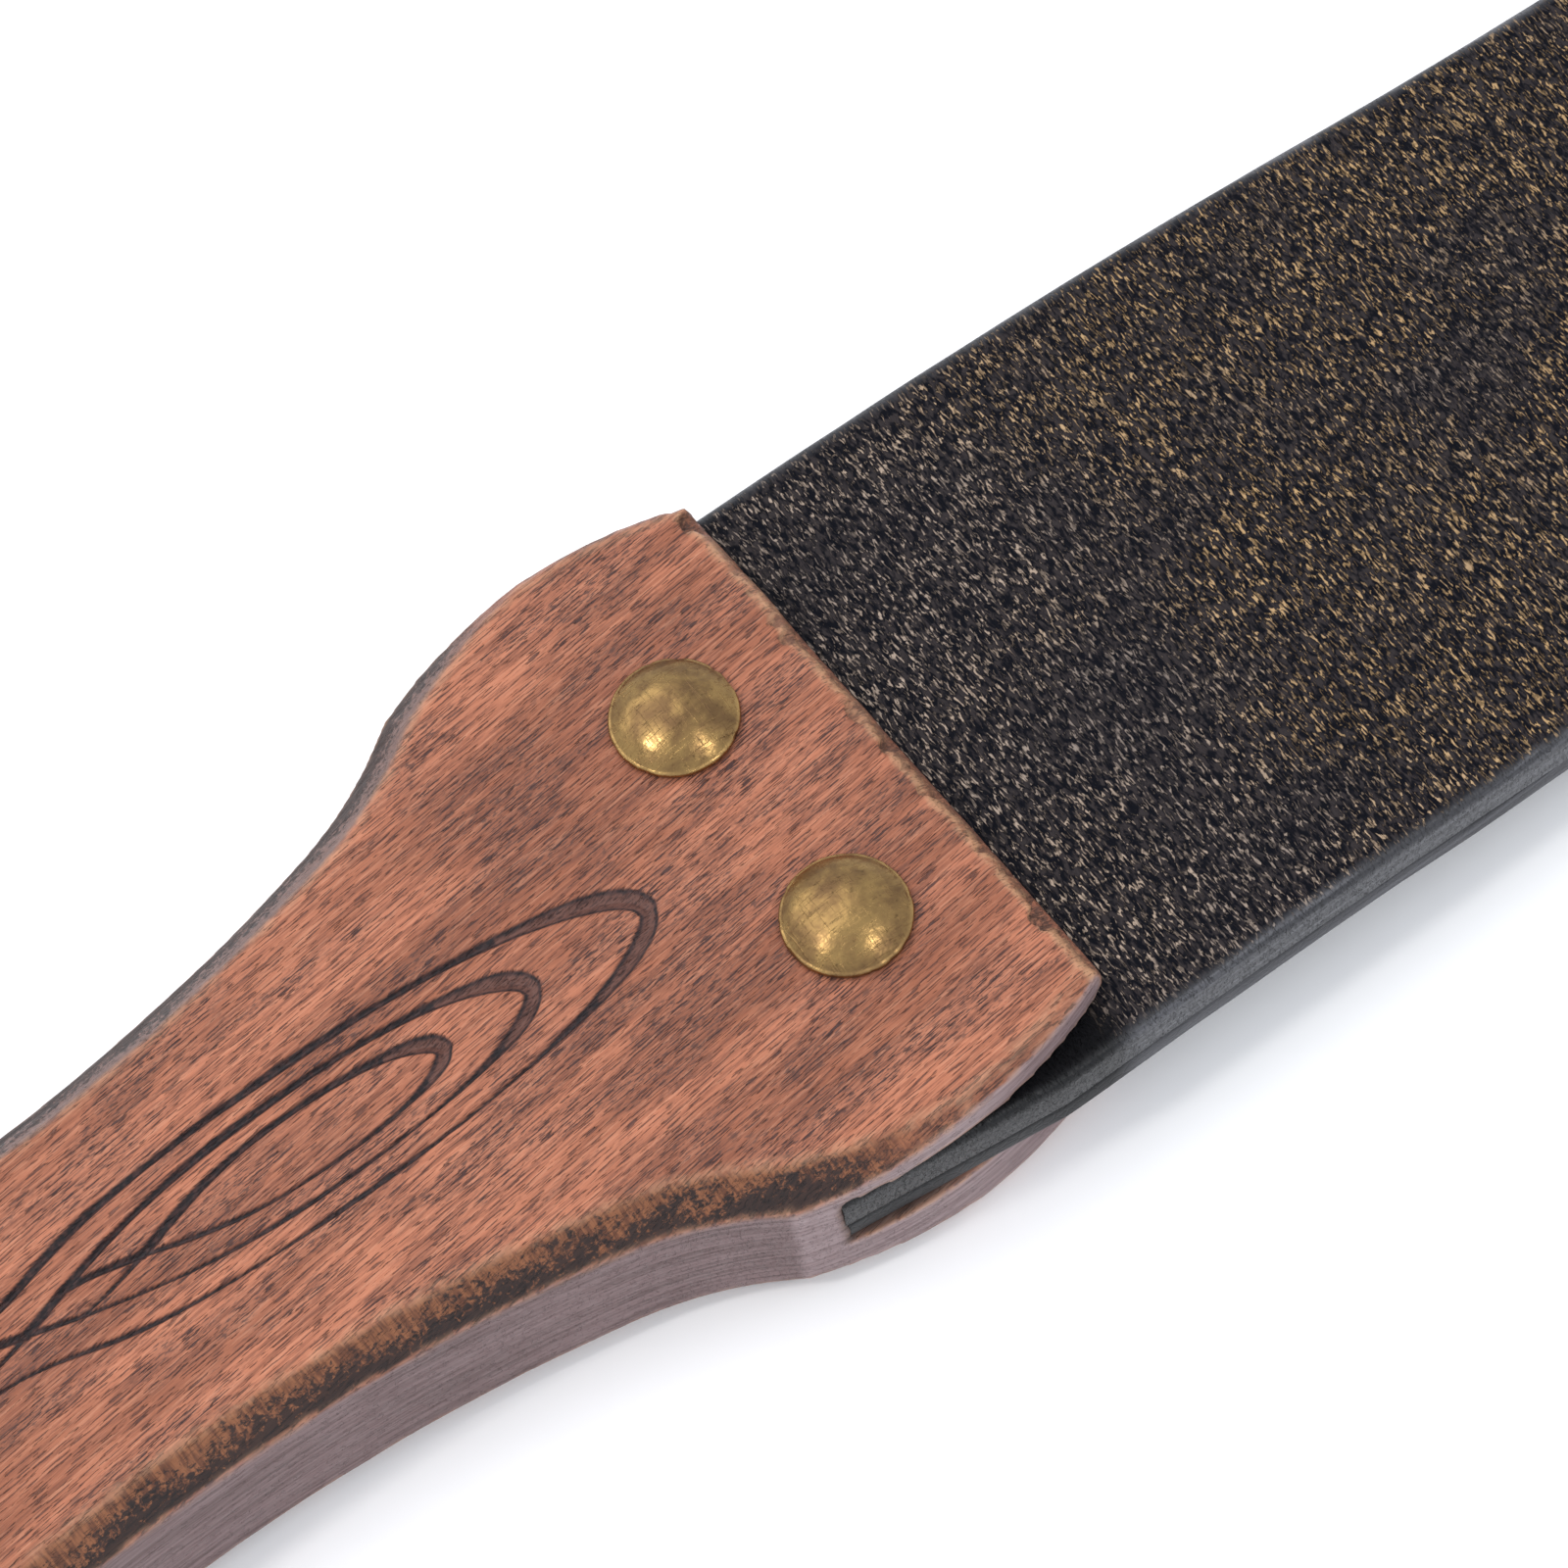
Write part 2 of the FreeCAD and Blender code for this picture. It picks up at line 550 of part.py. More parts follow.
def make_bolt():
    z = HARDWARE_Z
    bolt = cylinder(BOLT_R, NOSE_X - NOSE_GAP - BOLT_START, V(BOLT_START, BOLT_Y, z), X_AXIS)
    hole = cylinder(STUD_R, BOLT_R + OVERLAP, V(BOLT_START + STUD_BACK, BOLT_Y, z), Y_AXIS)
    return bolt.cut(hole)


def make_stud():
    x = BOLT_START + STUD_BACK
    knob_y = BOLT_Y + BARREL_TUBE_R + KNOB_GAP
    pin = cylinder(STUD_R, knob_y - BOLT_Y, V(x, BOLT_Y, HARDWARE_Z), Y_AXIS)
    knob = cylinder(KNOB_R, KNOB_THICK, V(x, knob_y, HARDWARE_Z), Y_AXIS)
    return pin.fuse(knob).removeSplitter()


def make_spring():
    """The compression spring between the tube's closed end and the bolt, of eight-sided wire."""
    height = BOLT_START - SPRING_START - SPRING_WIRE
    mean_r = BOLT_R - SPRING_WIRE / 2
    coil = Part.makeHelix(height / SPRING_TURNS, height, mean_r)
    section = Part.makePolygon([V(mean_r + SPRING_WIRE / 2 * math.cos(math.pi * i / 4), 0,
                                  SPRING_WIRE / 2 * math.sin(math.pi * i / 4)) for i in range(9)])
    spring = Part.Wire(coil).makePipeShell([section], True, True)
    spring.rotate(V(0, 0, 0), Y_AXIS, 90)
    return spring.translated(V(SPRING_START + SPRING_WIRE / 2, BOLT_Y, HARDWARE_Z))


os.makedirs("parts", exist_ok=True)

main_root, main_free = make_leather(0, MAIN_THICK, STRAP_END)
back_root, back_free = make_leather(-BACK_THICK, 0, STRAP_END - HANGER_LAP)
hanger_top = HARDWARE_Z + MAIN_THICK / 2 + HANGER_THICK
hanger_bottom = HARDWARE_Z - MAIN_THICK / 2 - HANGER_THICK
handle_caps, handle_screws = make_fasteners(handle_fasteners(), HANDLE_THICK, HEAD_RECESS)
hanger_caps, hanger_screws = make_fasteners(hanger_fasteners(), hanger_top, hanger_bottom)

save("handle", skewed(make_handle()))
save("strop_leather_root", main_root)
save("strop_leather", main_free)
save("backing_leather_root", back_root)
save("backing_leather", back_free)
for name, pieces in (("handle_cap", map(skewed, handle_caps)),
                     ("handle_screw", map(skewed, handle_screws)),
                     ("hanger_cap", hanger_caps), ("hanger_screw", hanger_screws)):
    for number, piece in enumerate(pieces, 1):
        save(name + "_" + str(number), piece)
save("hanger_loop", make_hanger())
save("d_ring", make_ring())
save("swivel_eye", make_eye())
save("snap_body", make_snap_body())
save("snap_bolt", make_bolt())
save("thumb_stud", make_stud())
save("bolt_spring", make_spring())
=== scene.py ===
import json
import math

import bmesh
import bpy
import numpy as np
from mathutils import Matrix, Vector, kdtree


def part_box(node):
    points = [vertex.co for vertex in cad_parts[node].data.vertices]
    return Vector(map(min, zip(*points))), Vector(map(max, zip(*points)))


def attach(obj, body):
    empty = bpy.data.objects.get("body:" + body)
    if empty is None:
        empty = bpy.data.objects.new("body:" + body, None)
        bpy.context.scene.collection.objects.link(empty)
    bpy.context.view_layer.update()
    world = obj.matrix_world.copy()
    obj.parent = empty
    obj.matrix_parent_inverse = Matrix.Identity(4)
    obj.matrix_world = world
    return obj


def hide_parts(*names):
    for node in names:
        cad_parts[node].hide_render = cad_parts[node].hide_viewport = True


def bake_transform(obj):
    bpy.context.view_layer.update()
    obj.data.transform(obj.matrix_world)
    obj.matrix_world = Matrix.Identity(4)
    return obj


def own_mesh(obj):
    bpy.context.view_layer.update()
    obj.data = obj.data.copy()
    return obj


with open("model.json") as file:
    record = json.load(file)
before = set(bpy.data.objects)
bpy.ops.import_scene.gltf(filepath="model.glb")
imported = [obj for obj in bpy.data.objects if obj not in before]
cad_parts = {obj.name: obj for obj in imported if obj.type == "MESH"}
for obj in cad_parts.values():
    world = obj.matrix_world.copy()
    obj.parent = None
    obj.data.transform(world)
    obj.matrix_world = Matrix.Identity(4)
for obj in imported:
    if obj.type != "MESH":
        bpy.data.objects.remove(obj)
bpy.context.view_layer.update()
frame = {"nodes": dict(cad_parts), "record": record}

MM = 0.001
BOX = {name: [np.array(corner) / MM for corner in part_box(name)] for name in frame["nodes"]}


def joint(name):
    """The record's entry for one joint."""
    return next(j for j in frame["record"]["behaviour"]["joints"] if j["name"] == name)


# --- camera and light ----------------------------------------------------------------------------

AZIMUTH, ELEVATION, ROLL = math.radians(-25.824), math.radians(62.78), math.radians(-11.057)
LENS = 126.25
CAMERA_AT = Vector((-0.01356, -0.16365, 0.37751))

back = Vector((math.sin(AZIMUTH) * math.cos(ELEVATION),
               -math.cos(AZIMUTH) * math.cos(ELEVATION), math.sin(ELEVATION)))
level = Vector((math.cos(AZIMUTH), math.sin(AZIMUTH), 0))
steep = back.cross(level)
right = math.cos(ROLL) * level + math.sin(ROLL) * steep
up = -math.sin(ROLL) * level + math.cos(ROLL) * steep

camera_data = bpy.data.cameras.new("camera")
camera_data.sensor_width = 36
camera_data.lens = LENS
camera_data.clip_start, camera_data.clip_end = 0.01, 20
camera = bpy.data.objects.new("camera", camera_data)
bpy.context.collection.objects.link(camera)
camera.matrix_world = Matrix.Translation(CAMERA_AT) @ Matrix(
    (right, up, back)).transposed().to_4x4()
bpy.context.scene.camera = camera

SUBJECT = Vector((0.09, 0, 0))


def area_light(name, direction, distance, size, power, colour):
    """A soft box, placed from SUBJECT along a direction given as (right, up, back)."""
    data = bpy.data.lights.new(name, "AREA")
    data.shape = "DISK"
    data.size = size
    data.energy = power
    data.color = colour
    light = bpy.data.objects.new(name, data)
    bpy.context.collection.objects.link(light)
    way = (direction[0] * right + direction[1] * up + direction[2] * back).normalized()
    light.location = SUBJECT + way * distance
    light.rotation_mode = "QUATERNION"
    light.rotation_quaternion = way.to_track_quat("Z", "Y")


area_light("key", (-0.62, 0.75, 0.62), 1.3, 1.6, 8.5, (1.0, 0.98, 0.95))
area_light("low_left", (-0.55, 0.10, 0.82), 1.0, 0.11, 1.7, (1.0, 0.97, 0.92))
area_light("low_right", (0.42, 0.12, 0.88), 1.0, 0.10, 1.3, (1.0, 0.97, 0.92))

world = bpy.data.worlds.new("studio")
world.use_nodes = True
world.node_tree.nodes["Background"].inputs["Color"].default_value = (0.90, 0.94, 1.0, 1)
world.node_tree.nodes["Background"].inputs["Strength"].default_value = 1.10
bpy.context.scene.world = world
bpy.context.scene.view_settings.view_transform = "Standard"


# --- noise and mesh helpers ----------------------------------------------------------------------

def lattice(cell, seed):
    """A repeatable number from 0 to 1 for each lattice cell."""
    keys = np.array([374761393, 668265263, 1442695041], np.int64)
    h = ((cell * keys).sum(1) + seed * 1274126177) & 0xFFFFFFFF
    h = ((h ^ (h >> 13)) * 1274126177) & 0xFFFFFFFF
    h = ((h ^ (h >> 15)) * 2246822519) & 0xFFFFFFFF
    return ((h ^ (h >> 16)) & 0xFFFF) / 65535.0


def noise(points, scale, seed=0, octaves=1):
    """Smooth value noise from -1 to 1; scale is the feature size in mm along each axis."""
    total, weight, reach = 0.0, 1.0, 0.0
    spots = points / np.array(scale, float)
    for octave in range(octaves):
        cell = np.floor(spots).astype(np.int64)
        part = spots - cell
        ease = part * part * (3 - 2 * part)
        value = np.zeros(len(points))
        for corner in np.ndindex(2, 2, 2):
            share = np.prod(np.where(np.array(corner), ease, 1 - ease), axis=1)
            value += share * lattice(cell + corner, seed + 17 * octave)
        total = total + weight * (2 * value - 1)
        reach += weight
        weight *= 0.5
        spots = spots * 2.03 + 11.7
    return total / reach


def step(low, high, value):
    t = np.clip((value - low) / (high - low), 0, 1)
    return t * t * (3 - 2 * t)


def coords(mesh):
    co = np.empty(len(mesh.vertices) * 3)
    mesh.vertices.foreach_get("co", co)
    return co.reshape(-1, 3) / MM


def set_coords(mesh, co):
    mesh.vertices.foreach_set("co", (co * MM).ravel())
    mesh.update()


def normals(mesh):
    nor = np.empty(len(mesh.vertices) * 3, np.float32)
    mesh.vertex_normals.foreach_get("vector", nor)
    return nor.reshape(-1, 3).astype(float)


def edges_of(mesh):
    pairs = np.empty(len(mesh.edges) * 2, np.int32)
    mesh.edges.foreach_get("vertices", pairs)
    return pairs.reshape(-1, 2)


def neighbour_mean(values, pairs, count):
    total = np.stack([np.bincount(pairs[:, 0], values[pairs[:, 1], k], count)
                      + np.bincount(pairs[:, 1], values[pairs[:, 0], k], count)
                      for k in range(values.shape[1])], 1)
    degree = np.bincount(pairs.ravel(), minlength=count)[:, None]
    return total / np.maximum(degree, 1)


def relaxed(co, pairs, rounds):
    """Smoothed without shrinking."""
    for _ in range(rounds):
        for share in (0.5, -0.52):
            co = co + share * (neighbour_mean(co, pairs, len(co)) - co)
    return co


def mark(mesh, name, values):
    attribute = mesh.attributes.get(name) or mesh.attributes.new(name, "FLOAT", "POINT")
    attribute.data.foreach_set("value", np.asarray(values, np.float32))


def facing_out(mesh):
    """Turns every face outwards."""
    work = bmesh.new()
    work.from_mesh(mesh)
    bmesh.ops.recalc_face_normals(work, faces=work.faces)
    work.to_mesh(mesh)
    work.free()


def smooth_shaded(mesh):
    mesh.polygons.foreach_set("use_smooth", np.ones(len(mesh.polygons), bool))
    mesh.update()


def new_object(name, co, faces):
    mesh = bpy.data.meshes.new(name)
    mesh.from_pydata((np.asarray(co) * MM).tolist(), [], faces)
    mesh.validate()
    smooth_shaded(mesh)
    thing = bpy.data.objects.new(name, mesh)
    bpy.context.collection.objects.link(thing)
    return thing


def remeshed(node, name, voxel, rounds):
    """A copy of a CAD node as an even mesh, its edges slightly rounded."""
    thing = bpy.data.objects.new(name, frame["nodes"][node].data.copy())
    bpy.context.collection.objects.link(thing)
    modifier = thing.modifiers.new("even", "REMESH")
    modifier.mode = "VOXEL"
    modifier.voxel_size = voxel * MM
    graph = bpy.context.evaluated_depsgraph_get()
    mesh = bpy.data.meshes.new_from_object(thing.evaluated_get(graph))
    thing.modifiers.clear()
    thing.data = mesh
    mesh.materials.clear()
    set_coords(mesh, relaxed(coords(mesh), edges_of(mesh), rounds))
    smooth_shaded(mesh)
    return thing


def mark_edges(mesh, spread):
    """Attributes for how convex (worn) and how concave the surface is, from 0 to 1; brass darkens
    the concave spots as patina and painted shade.
    """
    co, pairs, nor = coords(mesh), edges_of(mesh), normals(mesh)
    bend = ((co - neighbour_mean(co, pairs, len(co))) * nor).sum(1)[:, None]
    for _ in range(spread):
        bend = 0.5 * bend + 0.5 * neighbour_mean(bend, pairs, len(co))
    length = np.linalg.norm(co[pairs[:, 0]] - co[pairs[:, 1]], axis=1).mean()
    mark(mesh, "worn", step(0.02, 0.14, bend[:, 0] / length))
    mark(mesh, "hollow_patina_and_shade", step(0.02, 0.14, -bend[:, 0] / length))


# --- material helper -----------------------------------------------------------------------------

class Look:
    """A procedural material; points are read in millimetres."""

    def __init__(self, name, turn=0.0):
        self.material = bpy.data.materials.new(name)
        self.material.use_nodes = True
        self.nodes = self.material.node_tree.nodes
        self.links = self.material.node_tree.links
        self.shader = self.nodes["Principled BSDF"]
        self.place = self.nodes.new("ShaderNodeTexCoord").outputs["Object"]
        self.turn = turn
        self.bumps = None

    def put(self, socket, value):
        if isinstance(value, bpy.types.NodeSocket):
            self.links.new(value, socket)
        elif value is not None:
            if hasattr(socket.default_value, "__len__") and len(socket.default_value) == 4:
                value = (*value[:3], 1)
            socket.default_value = value

    def spots(self, scale):
        node = self.nodes.new("ShaderNodeMapping")
        node.inputs["Scale"].default_value = [1 / MM / s for s in scale]
        turned = self.nodes.new("ShaderNodeVectorRotate")
        turned.rotation_type = "Z_AXIS"
        turned.inputs["Angle"].default_value = -self.turn
        self.links.new(self.place, turned.inputs["Vector"])
        self.links.new(turned.outputs[0], node.inputs["Vector"])
        return node.outputs[0]

    def noise(self, scale, detail=3.0, rough=0.55, twist=0.0):
        node = self.nodes.new("ShaderNodeTexNoise")
        self.links.new(self.spots(scale), node.inputs["Vector"])
        node.inputs["Scale"].default_value = 1
        node.inputs["Detail"].default_value = detail
        node.inputs["Roughness"].default_value = rough
        node.inputs["Distortion"].default_value = twist
        return node.outputs["Fac"]

    def cells(self, scale, feature="F1"):
        node = self.nodes.new("ShaderNodeTexVoronoi")
        node.feature = feature
        self.links.new(self.spots(scale), node.inputs["Vector"])
        node.inputs["Scale"].default_value = 1
        return node.outputs["Distance"]

    def attribute(self, name):
        node = self.nodes.new("ShaderNodeAttribute")
        node.attribute_name = name
        return node.outputs["Fac"]

    def fit(self, value, low, high, to_low=0.0, to_high=1.0):
        node = self.nodes.new("ShaderNodeMapRange")
        node.interpolation_type = "SMOOTHSTEP"
        self.put(node.inputs["Value"], value)
        for name, number in (("From Min", low), ("From Max", high),
                             ("To Min", to_low), ("To Max", to_high)):
            node.inputs[name].default_value = number
        return node.outputs["Result"]

    def math(self, operation, a, b):
        node = self.nodes.new("ShaderNodeMath")
        node.operation = operation
        self.put(node.inputs[0], a)
        self.put(node.inputs[1], b)
        return node.outputs[0]

    def times(self, a, b):
        return self.math("MULTIPLY", a, b)

    def mix(self, share, a, b, way="MIX"):
        node = self.nodes.new("ShaderNodeMix")
        node.data_type = "RGBA"
        node.blend_type = way
        self.put(node.inputs["Factor"], share)
        first_colour, second_colour, mixed_colour = node.inputs[6], node.inputs[7], node.outputs[2]
        self.put(first_colour, a)
        self.put(second_colour, b)
        return mixed_colour

    def bump(self, height, depth, strength=1.0):
        """Adds a relief whose full height is depth millimetres."""
        node = self.nodes.new("ShaderNodeBump")
        node.inputs["Strength"].default_value = strength
        node.inputs["Distance"].default_value = depth * MM
        self.put(node.inputs["Height"], height)
        if self.bumps is not None:
            self.links.new(self.bumps, node.inputs["Normal"])
        self.bumps = node.outputs["Normal"]

    def done(self, colour, roughness, **fixed):
        self.put(self.shader.inputs["Base Color"], colour)
        self.put(self.shader.inputs["Roughness"], roughness)
        for name, value in fixed.items():
            self.put(self.shader.inputs[name.replace("_", " ")], value)
        if self.bumps is not None:
            self.links.new(self.bumps, self.shader.inputs["Normal"])
        return self.material


def dress(thing, material):
    thing.data.materials.clear()
    thing.data.materials.append(material)


# --- materials -----------------------------------------------------------------------------------

SKEW = math.radians(1.5)        # how far the handle stands turned from the strap's line
GRAIN_TURN = math.radians(5)    # and its grain from its own length


def beech():
    look = Look("beech", SKEW + GRAIN_TURN)
    clouds = look.fit(look.noise((38, 5, 20), 4, 0.55), 0.38, 0.62)
    colour = look.mix(clouds, (0.255, 0.082, 0.040), (0.420, 0.148, 0.079))
    fibre = look.noise((9, 0.45, 1.2), 5, 0.62, 0.15)
    colour = look.mix(look.fit(fibre, 0.46, 0.64, 0, 0.62), colour, (0.150, 0.050, 0.029))
    colour = look.mix(look.fit(fibre, 0.30, 0.47, 0.30, 0), colour, (0.54, 0.245, 0.145))
    streak = look.noise((4.5, 0.20, 0.4), 4, 0.68, 0.1)
    colour = look.mix(look.fit(streak, 0.53, 0.60, 0, 0.55), colour, (0.110, 0.038, 0.024))
    colour = look.mix(look.fit(streak, 0.38, 0.46, 0.26, 0), colour, (0.57, 0.28, 0.175))
    smoke = look.fit(look.noise((15, 3.6, 8), 5, 0.62, 0.3), 0.45, 0.58)
    pores = look.noise((2.2, 0.15, 0.4), 2, 0.5)
    pore_mask = look.fit(pores, 0.57, 0.63)
    fine = look.fit(look.noise((0.9, 0.14, 0.3), 2, 0.6), 0.50, 0.60)
    colour = look.mix(look.times(smoke, look.fit(fine, 0, 1, 0.20, 0.85)),
                      colour, (0.066, 0.029, 0.023))
    colour = look.mix(look.times(pore_mask, look.fit(smoke, 0, 1, 0.68, 0.95)),
                      colour, (0.044, 0.018, 0.017))
    # side walls: a mauve-grey tone of their own, darkened further as painted shade
    wall = look.attribute("wall")
    lines = look.fit(look.noise((14, 6, 0.35), 4, 0.6), 0.35, 0.7)
    wall_tone_and_shade = look.mix(lines, (0.190, 0.125, 0.125), (0.088, 0.052, 0.050))
    # painted light: ahead of the blunt corner the wall is painted lighter, with a painted highlight
    # line along the corner's ridge
    wall_tone_and_shade = look.mix(look.attribute("painted_light_ahead"), wall_tone_and_shade,
                           look.mix(lines, (0.300, 0.222, 0.225), (0.190, 0.128, 0.130)))
    colour = look.mix(wall, colour, wall_tone_and_shade)
    # dark wax on the bevels, thickest along their outer edge
    bevel = look.attribute("bevel")
    fall = look.attribute("fall")
    speck = look.noise((0.60, 0.45, 0.5), 5, 0.74, 0.4)
    patch = look.noise((7, 4, 4), 3, 0.5)
    soot = look.math("ADD", look.math("ADD", speck, look.times(patch, 0.45)),
                     look.times(fall, 0.34))
    soot = look.fit(soot, 0.80, 0.93)
    cross = look.fit(look.noise((0.35, 2.5, 2.5), 3, 0.6), 0.40, 0.62)
    band = look.mix(cross, (0.215, 0.082, 0.036), (0.095, 0.034, 0.017))
    band = look.mix(soot, band, (0.013, 0.009, 0.009))
    # painted light: on the far (+Y) side the bevel is painted a paler grey, as where it is lit
    far = look.attribute("far")
    band = look.mix(far, band, look.mix(soot, (0.150, 0.098, 0.090), (0.020, 0.012, 0.011)))
    colour = look.mix(look.times(bevel, 0.95), colour, band)
    worn = look.attribute("worn")
    ragged = look.fit(look.noise((1.6, 1.1, 1.1), 4, 0.6), 0.38, 0.58)
    colour = look.mix(look.times(worn, look.fit(ragged, 0, 1, 0.12, 0.48)), colour,
                      (0.54, 0.30, 0.18))
    chip = look.attribute("chip")
    colour = look.mix(look.times(chip, look.fit(ragged, 0, 1, 0.30, 0.80)), colour,
                      (0.50, 0.28, 0.15))
    notch = look.attribute("notch")
    colour = look.mix(look.times(notch, look.fit(speck, 0.40, 0.55, 0.35, 0.95)), colour,
                      (0.075, 0.036, 0.026))
    # painted shade: the inside of the slot is painted dark
    painted_slot_shade = look.attribute("painted_slot_shade")
    colour = look.mix(painted_slot_shade, colour, look.mix(lines, (0.075, 0.038, 0.028), (0.020, 0.011, 0.010)))
    halo = look.times(look.attribute("halo"), look.fit(fine, 0, 1, 0.25, 0.75))
    colour = look.mix(halo, colour, (0.12, 0.048, 0.036))
    groove = look.attribute("groove")
    burnt = look.mix(look.fit(look.noise((0.6, 0.4, 0.4), 3), 0.4, 0.7),
                     (0.014, 0.010, 0.012), (0.055, 0.026, 0.024))
    burnt = look.mix(look.attribute("bed"), burnt,
                     look.mix(fine, (0.118, 0.052, 0.040), (0.056, 0.025, 0.021)))
    colour = look.mix(groove, colour, burnt)
    rough = look.fit(fibre, 0.3, 0.7, 0.46, 0.64)
    look.bump(fibre, 0.10)
    look.bump(look.math("SUBTRACT", 1, pore_mask), 0.12, 0.9)
    look.bump(streak, 0.05, 0.8)
    return look.done(colour, rough, Specular_IOR_Level=0.30)


def strop_face():
    look = Look("strop_face")
    # short broken wrinkles that run across the strap, their pale flecks partly real specks and
    # partly painted glints
    drift = look.noise((0.36, 0.95, 0.9), 3, 0.55, 0.7)
    dash = look.fit(look.noise((0.21, 0.80, 0.6), 2, 0.5, 0.7), 0.545, 0.600)
    group = look.fit(look.noise((1.1, 1.6, 1.5), 3, 0.6, 0.4), 0.34, 0.54, 0.15, 1)
    fleck_and_glint = look.times(look.times(dash, group), look.fit(drift, 0.40, 0.54, 0.40, 1))
    clouds = look.noise((17, 12, 12), 4, 0.6)
    colour = look.mix(look.fit(drift, 0.42, 0.62), (0.0012, 0.0016, 0.0044),
                      (0.026, 0.021, 0.022))
    # painted highlight: near the handle the flecks are pale grey, standing in for glints on the
    # wrinkles; farther along they turn gold
    away = look.attribute("away")
    fleck_and_glint_colour = look.mix(look.times(look.fit(clouds, 0.30, 0.55), look.fit(away, 0, 1, 0.10, 1)),
                     (0.340, 0.275, 0.235), (0.60, 0.385, 0.185))
    fleck_and_glint = look.times(fleck_and_glint, look.fit(away, 0, 1, 1, 0.70))
    colour = look.mix(look.times(fleck_and_glint, look.fit(clouds, 0.30, 0.55, 0.60, 0.95)), colour, fleck_and_glint_colour)
    edge = look.attribute("edge")
    lines = look.fit(look.noise((22, 5, 0.33), 4, 0.65, 0.1), 0.42, 0.66)
    side = look.mix(lines, (0.034, 0.034, 0.039), (0.090, 0.090, 0.100))
    colour = look.mix(edge, colour, side)
    seam = look.attribute("seam")
    colour = look.mix(seam, colour, (0.003, 0.003, 0.004))
    # painted shade: the strap inside the slot is painted near black
    colour = look.mix(look.attribute("painted_slot_shade"), colour, (0.004, 0.004, 0.005))
    relief = look.math("ADD", look.times(drift, 0.7), look.times(fleck_and_glint, 0.3))
    rough = look.mix(edge, look.fit(drift, 0.42, 0.62, 0.62, 0.42), (0.33, 0.33, 0.33))
    look.bump(relief, 0.30, 0.9)
    look.bump(dash, 0.05, 0.8)
    return look.done(colour, rough, Specular_IOR_Level=look.times(look.fit(edge, 0, 1, 0.07, 0.30),
                                                     look.fit(seam, 0, 1, 1, 0)))


def backing():
    look = Look("backing_face")
    grain = look.cells((1.1, 0.9, 0.9), "DISTANCE_TO_EDGE")
    crease = look.fit(grain, 0.0, 0.14)
    clouds = look.noise((16, 10, 10), 4, 0.6)
    colour = look.mix(look.fit(clouds, 0.35, 0.68), (0.012, 0.0125, 0.015), (0.032, 0.031, 0.034))
    colour = look.mix(look.fit(crease, 0, 1, 0.5, 0), colour, (0.004, 0.004, 0.005))
    edge = look.attribute("edge")
    lines = look.fit(look.noise((22, 5, 0.28), 4, 0.65, 0.1), 0.40, 0.66)
    side = look.mix(lines, (0.034, 0.034, 0.039), (0.080, 0.080, 0.089))
    colour = look.mix(edge, colour, side)
    colour = look.mix(look.attribute("seam"), colour, (0.003, 0.003, 0.004))
    scuff = look.fit(look.noise((3.2, 0.5, 0.6), 4, 0.6), 0.62, 0.74)
    colour = look.mix(look.times(scuff, 0.25), colour, (0.12, 0.11, 0.105))
    # painted shade: the backing inside the slot is painted near black
    colour = look.mix(look.attribute("painted_slot_shade"), colour, (0.004, 0.004, 0.005))
    look.bump(crease, 0.06, 0.7)
    look.bump(look.noise((0.35, 0.35, 0.35), 3), 0.05, 0.7)
    rough = look.fit(clouds, 0.3, 0.7, 0.46, 0.60)
    return look.done(colour, rough, Specular_IOR_Level=0.36)


def brass(name, light, dark, rough_low, rough_high):
    look = Look(name)
    patches = look.fit(look.noise((3.6, 3.0, 3.2), 5, 0.65, 0.2), 0.36, 0.68)
    colour = look.mix(patches, light, dark)
    spots = look.fit(look.noise((0.55, 0.5, 0.5), 4, 0.6), 0.60, 0.72)
    colour = look.mix(look.times(spots, 0.55), colour, [0.45 * c for c in dark])
    # dark patina and painted shade in the hollows
    hollow_patina_and_shade = look.attribute("hollow_patina_and_shade")
    colour = look.mix(look.times(hollow_patina_and_shade, 0.8), colour, [0.25 * c for c in dark])
    worn = look.attribute("worn")
    rub = look.fit(look.noise((0.8, 0.8, 0.8), 3), 0.35, 0.6, 0.25, 0.85)
    colour = look.mix(look.times(worn, rub), colour, [min(1, 2.4 * c) for c in light])
    scratch = look.noise((4.5, 0.13, 0.6), 3, 0.6, 0.5)
    cross = look.noise((0.16, 3.2, 0.6), 3, 0.6, 0.5)
    rough = look.fit(patches, 0, 1, rough_low, rough_high)
    look.bump(look.math("ADD", look.fit(scratch, 0.58, 0.66), look.fit(cross, 0.60, 0.68)),
              0.022, 0.7)
    look.bump(look.noise((1.1, 1.1, 1.1), 3, 0.55), 0.10, 0.55)
    return look.done(colour, rough, Metallic=1.0)


def spring_steel():
    look = Look("spring_steel")
    tint = look.noise((1.5, 0.4, 0.4), 3)
    colour = look.mix(look.fit(tint, 0.35, 0.7), (0.42, 0.42, 0.43), (0.24, 0.24, 0.25))
    look.bump(tint, 0.01, 0.5)
    return look.done(colour, look.fit(tint, 0.3, 0.7, 0.22, 0.4), Metallic=1.0)


BEECH = beech()
STROP = strop_face()
BACKING = backing()
DOME = brass("antique_brass", (0.315, 0.198, 0.076), (0.150, 0.088, 0.042), 0.25, 0.38)
CAST = brass("hardware_brass", (0.33, 0.205, 0.085), (0.165, 0.094, 0.050), 0.26, 0.40)
STEEL = spring_steel()

# --- handle --------------------------------------------------------------------------------------

